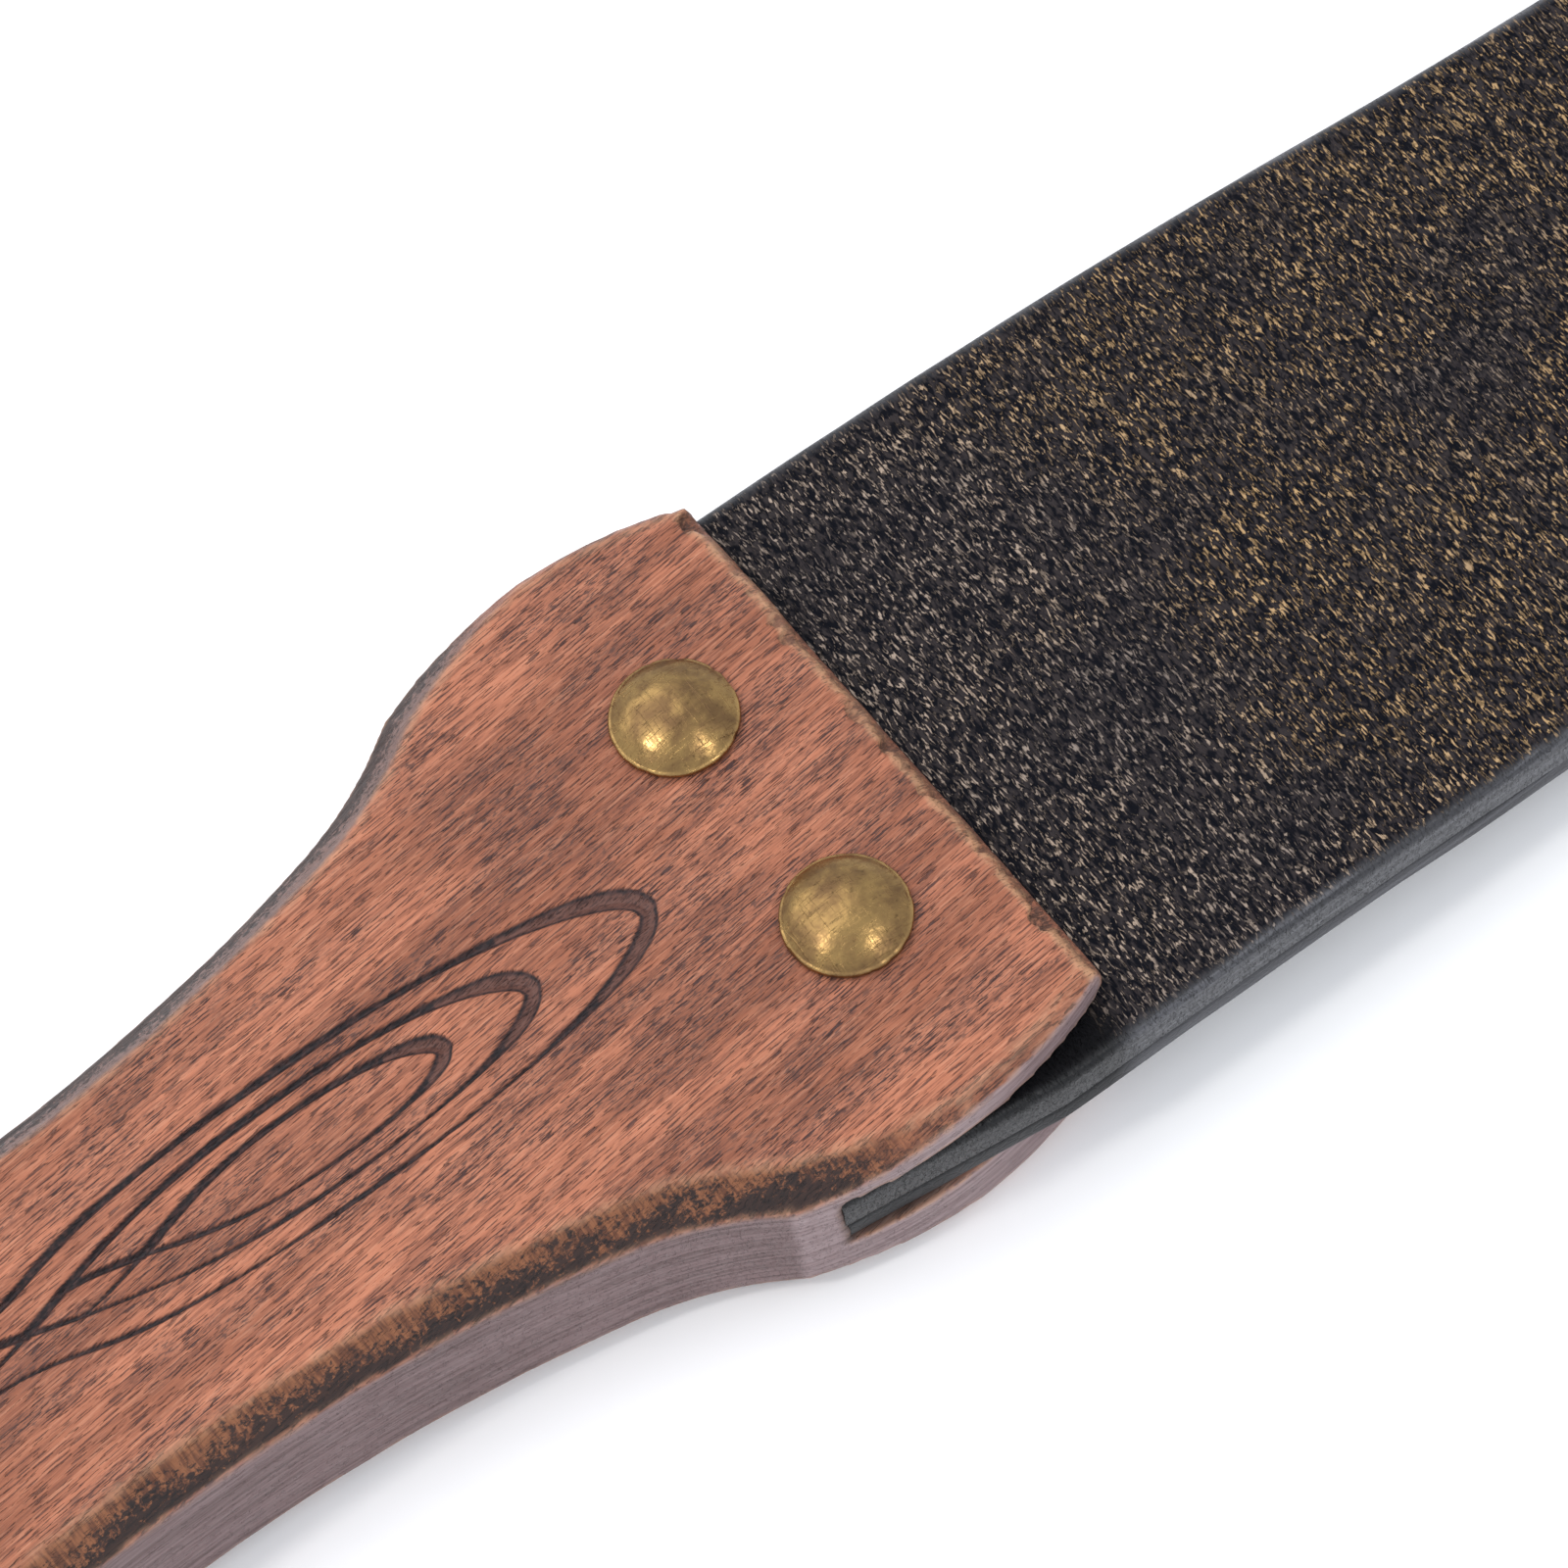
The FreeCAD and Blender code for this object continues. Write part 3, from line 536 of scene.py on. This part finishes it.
THICK = BOX["handle"][1][2]
FRONT_X = 76.0
SLOT_DEPTH = 25.0
SLOT_END = FRONT_X - SLOT_DEPTH
SLOT_LOW = BOX["backing_leather_root"][0][2] - 0.1
SLOT_HIGH = BOX["strop_leather_root"][1][2] + 0.1
CHAMFER = 2.75
BLUNT_X = FRONT_X - 28.5    # the blunt corner between the flared head and the hollow side
MIDDLE_X = -6.0      # the engraving is the same both ways from here
ENGRAVED_HALF_X = 70
ENGRAVED_HALF_Y = 12
GROOVE_REACH = 0.95  # no line is wider than this each side of its middle
BROAD_LINE = 0.52    # half-width from which a line has a paler bed
SMOOTH_FROM = (6.5, 7.2)    # heights between which the grain fades out into the slot
SMOOTH_TO = (13.2, 14.2)    # and comes back above it
# tip, crossing, half-width and extra half-width of the line at the tip, outer loop first
LOOPS = ((53.2, -15.0, 6.0, 0.62), (42.9, -1.0, 4.2, 0.50), (35.1, 9.0, 2.6, 0.42))


def in_handle(co):
    """Points of the row frame, in the handle's own frame."""
    c, s = math.cos(-SKEW), math.sin(-SKEW)
    return np.stack([co[:, 0] * c - co[:, 1] * s, co[:, 0] * s + co[:, 1] * c, co[:, 2]], 1)


def lobe(u):
    """Half-width of a teardrop loop, from its round tip at 0 to its crossing at 1."""
    round_end = np.sqrt(np.clip(1 - (1 - np.clip(u, 0, 0.42) / 0.42) ** 2, 0, 1))
    tail = np.cos(np.pi / 2 * (np.clip(u - 0.42, 0, 0.58) / 0.58) ** 1.25)
    return np.where(u < 0.42, round_end, tail)


def engraved(x, y, u, extra, phase):
    """One line and its three mirror images: x, y, half-width, depth; the +Y lines are broader."""
    rows = []
    for side, base, deep in ((1, 0.40, 0.44), (-1, 0.235, 0.32)):
        width = base + 0.07 * np.sin(x * 0.31 + phase) + extra * np.exp(-(u / 0.10) ** 2)
        depth = deep + 0.20 * np.exp(-(u / 0.10) ** 2)
        for along in (x, 2 * MIDDLE_X - x):
            rows.append(np.stack([along, side * y, width, depth], 1))
    return rows


def loop_points():
    """Points along every engraved line."""
    u = np.sin(np.linspace(0, np.pi / 2, 900)) ** 2
    rows = []
    for number, (tip, cross, half, extra) in enumerate(LOOPS):
        x = tip + (cross - tip) * u
        y = half * lobe(u)
        if cross < MIDDLE_X:
            # this loop narrows to a waist instead of crossing
            waist = np.exp(-((x - MIDDLE_X) / 7) ** 2)
            y = y * (1 - waist) + 2.5 * waist
        keep = x >= MIDDLE_X
        rows += engraved(x[keep], y[keep], u[keep], extra, 2 * number)
    crossing = LOOPS[1][1]
    t = np.linspace(0, 1, 150)
    x = crossing + (MIDDLE_X - crossing) * t
    rows += engraved(x, np.sin(np.pi / 2 * t), 1 + t, 0, 1)
    crossing = LOOPS[2][1]
    x = crossing + (2.5 - crossing) * t
    rows += engraved(x, 1.2 * np.sin(np.pi / 2 * t), 1 + t, 0, 4)
    points = np.concatenate(rows)
    points[:, 1] += 0.66 - 0.02 * points[:, 0]
    return points


GROOVES = loop_points()
groove_tree = kdtree.KDTree(len(GROOVES))
for place, (gx, gy, _, _) in enumerate(GROOVES):
    groove_tree.insert((gx, gy, 0), place)
groove_tree.balance()


def groove_at(local, chosen):
    """At the chosen points: the engraving's depth, distance to it, how far into a broad line."""
    depth, gap, bed = np.zeros(len(local)), np.full(len(local), 99.0), np.zeros(len(local))
    for i in np.nonzero(chosen)[0]:
        x, y, _ = local[i]
        for _, place, away in groove_tree.find_range((x, y, 0), GROOVE_REACH):
            half, deep = GROOVES[place, 2], GROOVES[place, 3]
            depth[i] = max(depth[i], deep * max(0.0, 1 - away / half) ** 0.8)
            gap[i] = min(gap[i], away - half)
            if half > BROAD_LINE:
                bed[i] = max(bed[i], half - away)
        if gap[i] > 90:
            _, _, away = groove_tree.find((x, y, 0))
            gap[i] = away - 0.35
    return depth, gap, bed


def near_grooves(mesh, reach):
    """Finer faces on the flat top wherever an engraved line is within reach."""
    work = bmesh.new()
    work.from_mesh(mesh)
    chosen = []
    c, s = math.cos(-SKEW), math.sin(-SKEW)
    for face in work.faces:
        spot = face.calc_center_median() / MM
        if spot.z > THICK - 0.4 and abs(spot.x) < ENGRAVED_HALF_X and abs(spot.y) < ENGRAVED_HALF_Y:
            local = (spot.x * c - spot.y * s, spot.x * s + spot.y * c, 0)
            if groove_tree.find(local)[2] < reach:
                chosen.append(face)
    edges = list({edge for face in chosen for edge in face.edges})
    bmesh.ops.subdivide_edges(work, edges=edges, cuts=1, use_grid_fill=True)
    work.to_mesh(mesh)
    work.free()


def make_handle():
    thing = remeshed("handle", "carved_handle", 0.42, 3)
    mesh = thing.data
    near_grooves(mesh, 1.5)
    near_grooves(mesh, 0.85)
    smooth_shaded(mesh)
    mark_edges(mesh, 3)
    co, nor = coords(mesh), normals(mesh)
    local = in_handle(co)
    x, y, z = local.T
    # the slot keeps its shape, the rest is uneven from shaping by hand
    in_slot = (step(SLOT_END - 2, SLOT_END + 1, x) * step(*SMOOTH_FROM, z)
               * (1 - step(*SMOOTH_TO, z)))
    # painted shade: the inside of the slot, which is painted dark
    within = (step(SLOT_END - 0.9, SLOT_END, x) * step(SLOT_LOW - 0.4, SLOT_LOW, z)
              * step(SLOT_HIGH + 0.4, SLOT_HIGH, z))
    wave = 0.10 * noise(local, (16, 9, 9), 3, 2) + 0.035 * noise(local, (4, 2.5, 2.5), 5, 2)
    fibre = 0.014 * noise(local, (5, 0.8, 0.8), 9, 2)
    flat = (z > THICK - 0.3) | (z < 0.3)
    co = co + nor * (np.where(flat, 0.25 * wave + fibre, wave + fibre) * (1 - in_slot))[:, None]
    # ragged front edge of the upper cheek
    chips = step(0.10, 0.50, noise(local, (2.2, 1.5, 30), 21, 3))
    inward = step(26.5, 24.5, np.abs(y))
    rim = step(2.2, 0.5, FRONT_X - x) * step(THICK - 2.2, THICK - 0.8, z) * inward
    lip = step(1.5, 0.5, FRONT_X - x) * step(THICK - 2.0, THICK - 0.5, z) * inward
    drift = 0.45 * (1 + noise(local, (30, 5.0, 30), 23, 2))
    co[:, 0] -= (1.15 * chips + drift) * rim
    co[:, 2] -= 0.30 * chips * rim
    # torn fibres at the slot's closed end
    slot_end = step(2.0, 0.3, np.abs(x - SLOT_END)) * step(SLOT_LOW, SLOT_LOW + 0.3, z) \
        * step(SLOT_HIGH, SLOT_HIGH - 0.3, z)
    co[:, 0] += 0.30 * slot_end * noise(local, (9, 3, 0.9), 25, 2)
    # engraving
    chosen = (z > THICK - 0.6) & (np.abs(x) < ENGRAVED_HALF_X) & (np.abs(y) < ENGRAVED_HALF_Y)
    depth, gap, bed = groove_at(local, chosen)
    depth *= 1 + 0.22 * noise(local, (1.6, 1.6, 9), 31, 2)
    co[:, 2] -= depth
    set_coords(mesh, co)
    mark(mesh, "groove", step(0.05, 0.17, depth))
    mark(mesh, "halo", np.where(chosen, 0.55 * np.exp(-np.clip(gap, 0, 9) / 0.9), 0)
         * step(-0.2, 0.5, noise(local, (7, 3, 9), 33, 3)))
    mark(mesh, "bed", step(0.27, 0.45, bed + 0.05 * noise(local, (0.8, 0.5, 9), 35)))
    mouth = step(FRONT_X - 2.6, FRONT_X - 1.6, x) * step(0.6, 0.8, nor[:, 0])
    mark(mesh, "wall", (1 - step(0.25, 0.5, np.abs(nor[:, 2]))) * (1 - mouth))
    mark(mesh, "painted_slot_shade", within)
    # painted light: the wall ahead of the blunt corner, and a painted highlight line along the
    # corner's ridge
    ridge_highlight = np.exp(-((np.abs(x) - BLUNT_X) / 0.45) ** 2)
    mark(mesh, "painted_light_ahead", np.clip(0.75 * step(BLUNT_X - 0.6, BLUNT_X + 0.4, x) + 0.35 * ridge_highlight, 0, 1))
    fade = 1 - step(FRONT_X - 24, FRONT_X - 12, x)
    slopes = [step(0.35, 0.55, way * nor[:, 2]) * (1 - step(0.86, 0.97, way * nor[:, 2]))
              * step(CHAMFER + 0.6, CHAMFER + 0.2, from_face)
              for way, from_face in ((1, THICK - z), (-1, z))]
    bevel = np.clip(slopes[0] * (0.15 + 0.85 * fade) + slopes[1] * 0.8 * fade, 0, 1)
    mark(mesh, "bevel", bevel)
    mark(mesh, "fall", np.clip(np.minimum(THICK - z, z) / CHAMFER, 0, 1))
    # painted light: the far (+Y) side, whose bevel is painted paler as where it is lit
    mark(mesh, "far", step(5, 9, y) * 0.85)
    mark(mesh, "chip", np.clip(lip * (0.2 + 0.6 * (1 - chips)), 0, 1))
    mark(mesh, "notch", np.clip(lip * chips + 0.7 * mouth, 0, 1))
    dress(thing, BEECH)
    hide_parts("handle")
    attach(thing, "handle")


make_handle()

# --- leather -------------------------------------------------------------------------------------

STRAP_HALF = (BOX["strop_leather"][1][1] - BOX["strop_leather"][0][1]) / 2
STRAP_END = BOX["strop_leather"][1][0]
ROOT_X = BOX["strop_leather_root"][0][0]
BACKING_END = BOX["backing_leather"][1][0]
MAIN_THICK, BACK_THICK, HANGER_THICK = 4.2, 2.4, 2.2
GLUE_LINE = BOX["strop_leather_root"][0][2]
HARDWARE_Z = (BOX["d_ring"][0][2] + BOX["d_ring"][1][2]) / 2
# the glue line is level to DROP_START, from DROP_END to the lift, and again past the lift
DROP_START, DROP_END, LIFT_LENGTH, LIFT_CLEAR = 6, 110, 95, 3
LIFT_END = BACKING_END - LIFT_CLEAR
LEVELS = ((FRONT_X + DROP_START, GLUE_LINE), (FRONT_X + DROP_END, BACK_THICK),
          (LIFT_END - LIFT_LENGTH, BACK_THICK), (LIFT_END, HARDWARE_Z - MAIN_THICK / 2))
TONGUE_HALF, TONGUE_LENGTH, TAPER, TONGUE_R = 14.0, 12.0, 38.0, 8.0
ROOT_HALF = 26.72           # half-width at the slot's closed end
TRIM_END = FRONT_X - 5      # the root's trimmed sides run out to here


def s_bend(x, x0, v0, x1, v1):
    """Two equal arcs from (x0, v0) to (x1, v1), level at both."""
    run, rise = x1 - x0, v1 - v0
    radius = (run ** 2 + rise ** 2) / (4 * abs(rise))
    way = math.copysign(1, rise)
    a, b = np.clip(x - x0, 0, run / 2), np.clip(x1 - x, 0, run / 2)
    first = v0 + way * (radius - np.sqrt(radius ** 2 - a ** 2))
    last = v1 - way * (radius - np.sqrt(radius ** 2 - b ** 2))
    return np.where(x < (x0 + x1) / 2, first, last)


def glue_line(x):
    drop = s_bend(x, *LEVELS[0], *LEVELS[1])
    lift = s_bend(x, *LEVELS[2], *LEVELS[3])
    return np.where(x < LEVELS[1][0], drop, lift)


def strap_edges(x):
    """Lowest and highest Y at each station: trimmed in the slot, narrowed at the far end."""
    taper_end = STRAP_END - TONGUE_LENGTH
    half = s_bend(x, taper_end - TAPER, STRAP_HALF, taper_end, TONGUE_HALF)
    corner_x, corner_y = STRAP_END - TONGUE_R, TONGUE_HALF - TONGUE_R
    past = np.clip(x - corner_x, 0, TONGUE_R)
    half = np.where(x > corner_x, corner_y + np.sqrt(TONGUE_R ** 2 - past ** 2), half)
    full = STRAP_HALF + SKEW * FRONT_X
    trim = ROOT_HALF + (x - ROOT_X) / (TRIM_END - ROOT_X) * (full - ROOT_HALF)
    lean = math.tan(SKEW) * x
    return -np.minimum(half, trim - lean), np.minimum(half, trim + lean)


def strip(name, path, out, low, high, thick, edge_r, n_top, n_low):
    """A strip of leather: its inner surface follows path, with out its outward normals.

    Also gives, for each point, its kind (0 face, 1 side, -1 inner surface), its distance
    from the nearer side and its height above the path.
    """
    angles = np.linspace(0, np.pi / 2, 5)
    corner_y = edge_r * (1 - np.cos(angles))
    corner_h = edge_r * np.sin(angles)
    columns, heights, marks = [], [], []
    flat = np.linspace(0, 1, n_top)[1:-1]
    for t in flat:
        columns.append(low + edge_r + t * (high - low - 2 * edge_r))
        heights.append(thick)
        marks.append(0)
    for k in range(4, -1, -1):
        columns.append(high - corner_y[k])
        heights.append(thick - edge_r + corner_h[k])
        marks.append(1 if k < 4 else 0.4)
    for k in range(0, 5):
        columns.append(high - corner_y[k])
        heights.append(edge_r - corner_h[k])
        marks.append(1)
    for t in np.linspace(1, 0, n_low)[1:-1]:
        columns.append(low + edge_r + t * (high - low - 2 * edge_r))
        heights.append(0)
        marks.append(-1)
    for k in range(4, -1, -1):
        columns.append(low + corner_y[k])
        heights.append(edge_r - corner_h[k])
        marks.append(1)
    for k in range(0, 5):
        columns.append(low + corner_y[k])
        heights.append(thick - edge_r + corner_h[k])
        marks.append(1 if k < 4 else 0.4)
    ring = len(columns)
    y = np.stack(columns, 1)
    h = np.tile(np.array(heights, float), (len(path), 1))
    co = np.stack([path[:, :1] + out[:, :1] * h, y, path[:, 1:] + out[:, 1:] * h], 2)
    rows = np.arange(len(path) - 1)[:, None] * ring
    a = rows + np.arange(ring)
    b = rows + (np.arange(ring) + 1) % ring
    faces = np.stack([a, b, b + ring, a + ring], 2).reshape(-1, 4).tolist()
    faces.append(list(range(ring))[::-1])
    faces.append([(len(path) - 1) * ring + k for k in range(ring)])
    thing = new_object(name, co.reshape(-1, 3), faces)
    facing_out(thing.data)
    smooth_shaded(thing.data)
    kind = np.tile(np.array(marks, float), len(path))
    from_edge = np.minimum(y - low[:, None], high[:, None] - y).ravel()
    mark(thing.data, "edge", np.clip(kind, 0, 1))
    return thing, kind, from_edge, h.ravel()


def strap_path(x, offset):
    """The line offset from the glue line, and its upward normals."""
    z = glue_line(x)
    slope = np.gradient(z, x)
    out = np.stack([-slope, np.ones_like(x)], 1)
    out /= np.linalg.norm(out, axis=1)[:, None]
    return np.stack([x, z], 1) + offset * out, out


def make_strap():
    x = np.concatenate([np.arange(ROOT_X, STRAP_END - TONGUE_R, 0.34),
                        STRAP_END - TONGUE_R + TONGUE_R * np.sin(np.linspace(0, np.pi / 2, 40))])
    path, out = strap_path(x, 0)
    thing, kind, from_edge, height = strip("strop_strap", path, out, *strap_edges(x),
                                           MAIN_THICK, 0.75, 102, 14)
    mesh = thing.data
    co, nor = coords(mesh), normals(mesh)
    grain = noise(co, (0.75, 1.7, 3), 41, 2) + 0.6 * noise(co, (0.8, 1.1, 3), 43, 1)
    swell = noise(co, (14, 11, 9), 45, 2)
    face = (kind == 0) * step(0.2, 1.3, from_edge)
    burnish = np.abs(kind) * 0.035 * noise(co, (6, 2, 1.2), 47, 2)
    move = face * (0.055 * grain + 0.05 * swell) + (kind > 0) * burnish
    in_slot = 1 - step(FRONT_X - 2, FRONT_X + 1, co[:, 0])
    set_coords(mesh, co + nor * (move * (1 - in_slot))[:, None])
    mark(mesh, "away", step(FRONT_X - 4, FRONT_X + 42, co[:, 0]
                            + 14 * noise(co, (18, 14, 9), 49, 2)))
    # painted shade: marks the strap inside the slot, painted near black
    mark(mesh, "painted_slot_shade", in_slot)
    mark(mesh, "seam", np.clip(kind, 0, 1) * step(0.75, 0.3, height))
    dress(thing, STROP)
    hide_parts("strop_leather_root", "strop_leather")
    bend = Vector(joint("strap_flex")["pos_m"])
    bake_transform(thing)
    return bend


def make_backing(bend):
    x = np.arange(ROOT_X, BACKING_END, 0.8)
    x = np.append(x, BACKING_END)
    path, out = strap_path(x, -BACK_THICK)
    low, high = strap_edges(x)
    inset = 0.24 + 0.12 * noise(np.stack([x, 0 * x, 0 * x], 1), (9, 1, 1), 51, 2)
    thing, kind, _, height = strip("backing_strap", path, out, low + inset, high - inset,
                                   BACK_THICK - 0.03, 0.55, 40, 40)
    mesh = thing.data
    co, nor = coords(mesh), normals(mesh)
    in_slot = 1 - step(FRONT_X - 2, FRONT_X + 1, co[:, 0])
    roll = (kind > 0) * 0.05 * noise(co, (7, 2, 1.2), 53, 2)
    set_coords(mesh, co + nor * (roll * (1 - in_slot))[:, None])
    # painted shade: marks the backing inside the slot, painted near black
    mark(mesh, "painted_slot_shade", in_slot)
    mark(mesh, "seam", np.clip(kind, 0, 1) * step(BACK_THICK - 0.35, BACK_THICK - 0.1, height))
    dress(thing, BACKING)
    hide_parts("backing_leather_root", "backing_leather")
    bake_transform(thing)


def make_hanger():
    """Folded strip: under the strap's end, round the D-ring's bar and back over the top."""
    low, high = BOX["hanger_loop"]
    inner = MAIN_THICK / 2
    fold_x = high[0] - inner - HANGER_THICK
    legs = np.arange(low[0], fold_x, 0.5)
    turn = np.linspace(-np.pi / 2, np.pi / 2, 26)
    path = np.concatenate([
        np.stack([legs, 0 * legs + HARDWARE_Z - inner], 1),
        np.stack([fold_x + inner * np.cos(turn), HARDWARE_Z + inner * np.sin(turn)], 1),
        np.stack([legs[::-1], 0 * legs + HARDWARE_Z + inner], 1)])
    out = np.concatenate([np.tile([0, -1.0], (len(legs), 1)),
                          np.stack([np.cos(turn), np.sin(turn)], 1),
                          np.tile([0, 1.0], (len(legs), 1))])
    half = np.full(len(path), (high[1] - low[1]) / 2)
    thing, kind, from_edge, _ = strip("hanger_strap", path, out, -half, half,
                                      HANGER_THICK, 0.6, 46, 20)
    mesh = thing.data
    co, nor = coords(mesh), normals(mesh)
    along = np.repeat(np.concatenate([legs, 2 * fold_x - legs[0] + 0 * turn, legs]),
                      len(co) // len(path))
    end_gap = np.where(along < fold_x, along - low[0], 99)
    # a creased line in from the edges, and a thinned end
    border = np.minimum(from_edge, end_gap)
    crease = 0.22 * np.exp(-((border - 2.0) / 0.28) ** 2) * (kind == 0)
    crown = 0.05 * noise(co, (5, 5, 5), 61, 2) * (kind == 0)
    skive = 0.5 * step(3.0, 0, end_gap) * (kind == 0)
    set_coords(mesh, co + nor * (crown - crease - skive)[:, None])
    dress(thing, BACKING)
    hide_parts("hanger_loop")
    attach(thing, "strap")


make_backing(make_strap())
make_hanger()

# --- fasteners -----------------------------------------------------------------------------------


def lathe(name, profile, segments, centre):
    """A closed turned piece; profile is (radius, height), from the top's middle to the bottom's."""
    turns = np.linspace(0, 2 * np.pi, segments, endpoint=False)
    rings, start, co = [], [], []
    for radius, height in profile:
        start.append(len(co))
        if radius < 1e-6:
            co.append((centre[0], centre[1], height))
            rings.append(1)
        else:
            co += [(centre[0] + radius * math.cos(t), centre[1] + radius * math.sin(t), height)
                   for t in turns]
            rings.append(segments)
    faces = []
    for k in range(len(profile) - 1):
        a, b = start[k], start[k + 1]
        for i in range(segments):
            j = (i + 1) % segments
            if rings[k] == 1:
                faces.append((a, b + i, b + j))
            elif rings[k + 1] == 1:
                faces.append((a + i, b, a + j))
            else:
                faces.append((a + i, b + i, b + j, a + j))
    return new_object(name, co, faces)


def make_cap(node, body, seed):
    """A domed cap with a rolled rim, a little dented, and its threaded barrel below."""
    low, high = BOX[node]
    centre = (low + high) / 2
    radius = (high[0] - low[0]) / 2
    dome, rim = 2.4, 0.45
    seat = high[2] - dome
    rise = dome - rim
    ball = (radius ** 2 + rise ** 2) / (2 * rise)
    spots = np.sin(np.linspace(0, np.pi / 2, 26)) * (radius - 0.28)
    profile = [(r, high[2] - ball + math.sqrt(ball ** 2 - r ** 2)) for r in spots]
    edge_z = profile[-1][1]
    lip = (edge_z - seat) / 2
    for t in np.linspace(0.15, 1, 9) * math.pi:
        profile.append((radius - 0.28 + 0.28 * math.sin(t), seat + lip + lip * math.cos(t)))
    profile += [(2.6, seat), (2.4, seat - 0.02), (2.4, low[2] + 0.1), (2.3, low[2]),
                (1.62, low[2]), (1.52, low[2] + 0.1), (1.52, seat - 0.3), (0, seat - 0.3)]
    profile[0] = (0, high[2])
    thing = lathe(node + "_dome", profile, 112, centre)
    mesh = thing.data
    facing_out(mesh)
    smooth_shaded(mesh)
    co, nor = coords(mesh), normals(mesh)
    away = np.hypot(co[:, 0] - centre[0], co[:, 1] - centre[1])
    outer = step(seat - 0.01, seat + 0.1, co[:, 2])
    dents = (0.036 * noise(co, (2.6, 2.3, 2.6), seed, 2)
             + 0.02 * noise(co, (0.9, 0.9, 0.9), seed + 4))
    nick = (0.10 * step(0.25, 0.8, noise(co, (0.8, 0.8, 0.8), seed + 9))
            * step(radius - 0.5, radius - 0.1, away))
    set_coords(mesh, co + nor * (outer * (dents - nick - 0.02))[:, None])
    mark(mesh, "worn", outer * step(radius - 0.45, radius - 0.1, away) * 0.25)
    # dark patina and painted shade low on the dome's lip, by its seat
    mark(mesh, "hollow_patina_and_shade", outer * step(0.35, 0.0, co[:, 2] - seat))
    dress(thing, DOME)
    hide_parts(node)
    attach(thing, body)


for number in (1, 2):
    make_cap("handle_cap_%d" % number, "handle", 70 + 20 * number)
    make_cap("hanger_cap_%d" % number, "strap", 170 + 20 * number)


def soft_metal(node, body, voxel, rounds, material, seed, lump):
    thing = remeshed(node, node + "_cast", voxel, rounds)
    mesh = thing.data
    mark_edges(mesh, 2)
    co, nor = coords(mesh), normals(mesh)
    set_coords(mesh, co + nor * (lump * noise(co, (2.2, 2.2, 2.2), seed, 2))[:, None])
    dress(thing, material)
    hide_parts(node)
    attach(thing, body)
    return thing


for number in (1, 2):
    soft_metal("handle_screw_%d" % number, "handle", 0.17, 3, DOME, 301, 0.01)
    soft_metal("hanger_screw_%d" % number, "strap", 0.17, 3, DOME, 302, 0.01)
soft_metal("d_ring", "d_ring", 0.26, 4, CAST, 310, 0.025)
soft_metal("swivel_eye", "swivel_eye", 0.22, 5, CAST, 311, 0.02)
soft_metal("snap_body", "snap_body", 0.26, 7, CAST, 312, 0.02)
soft_metal("snap_bolt", "snap_bolt", 0.18, 3, CAST, 313, 0.008)
soft_metal("thumb_stud", "snap_bolt", 0.15, 4, CAST, 314, 0.008)
spring = soft_metal("bolt_spring", "snap_body", 0.09, 1, STEEL, 315, 0.0)
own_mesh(spring)

# --- floor ---------------------------------------------------------------------------------------


def make_floor():
    look = Look("floor")
    tone = look.noise((180, 180, 180), 2)
    colour = look.mix(tone, (0.965, 0.965, 0.98), (0.98, 0.98, 0.99))
    side = 2500.0
    floor = new_object("floor", [(-side, -side, -0.05), (side, -side, -0.05),
                                 (side, side, -0.05), (-side, side, -0.05)], [(0, 1, 2, 3)])
    dress(floor, look.done(colour, 0.8, Specular_IOR_Level=0.2))


make_floor()
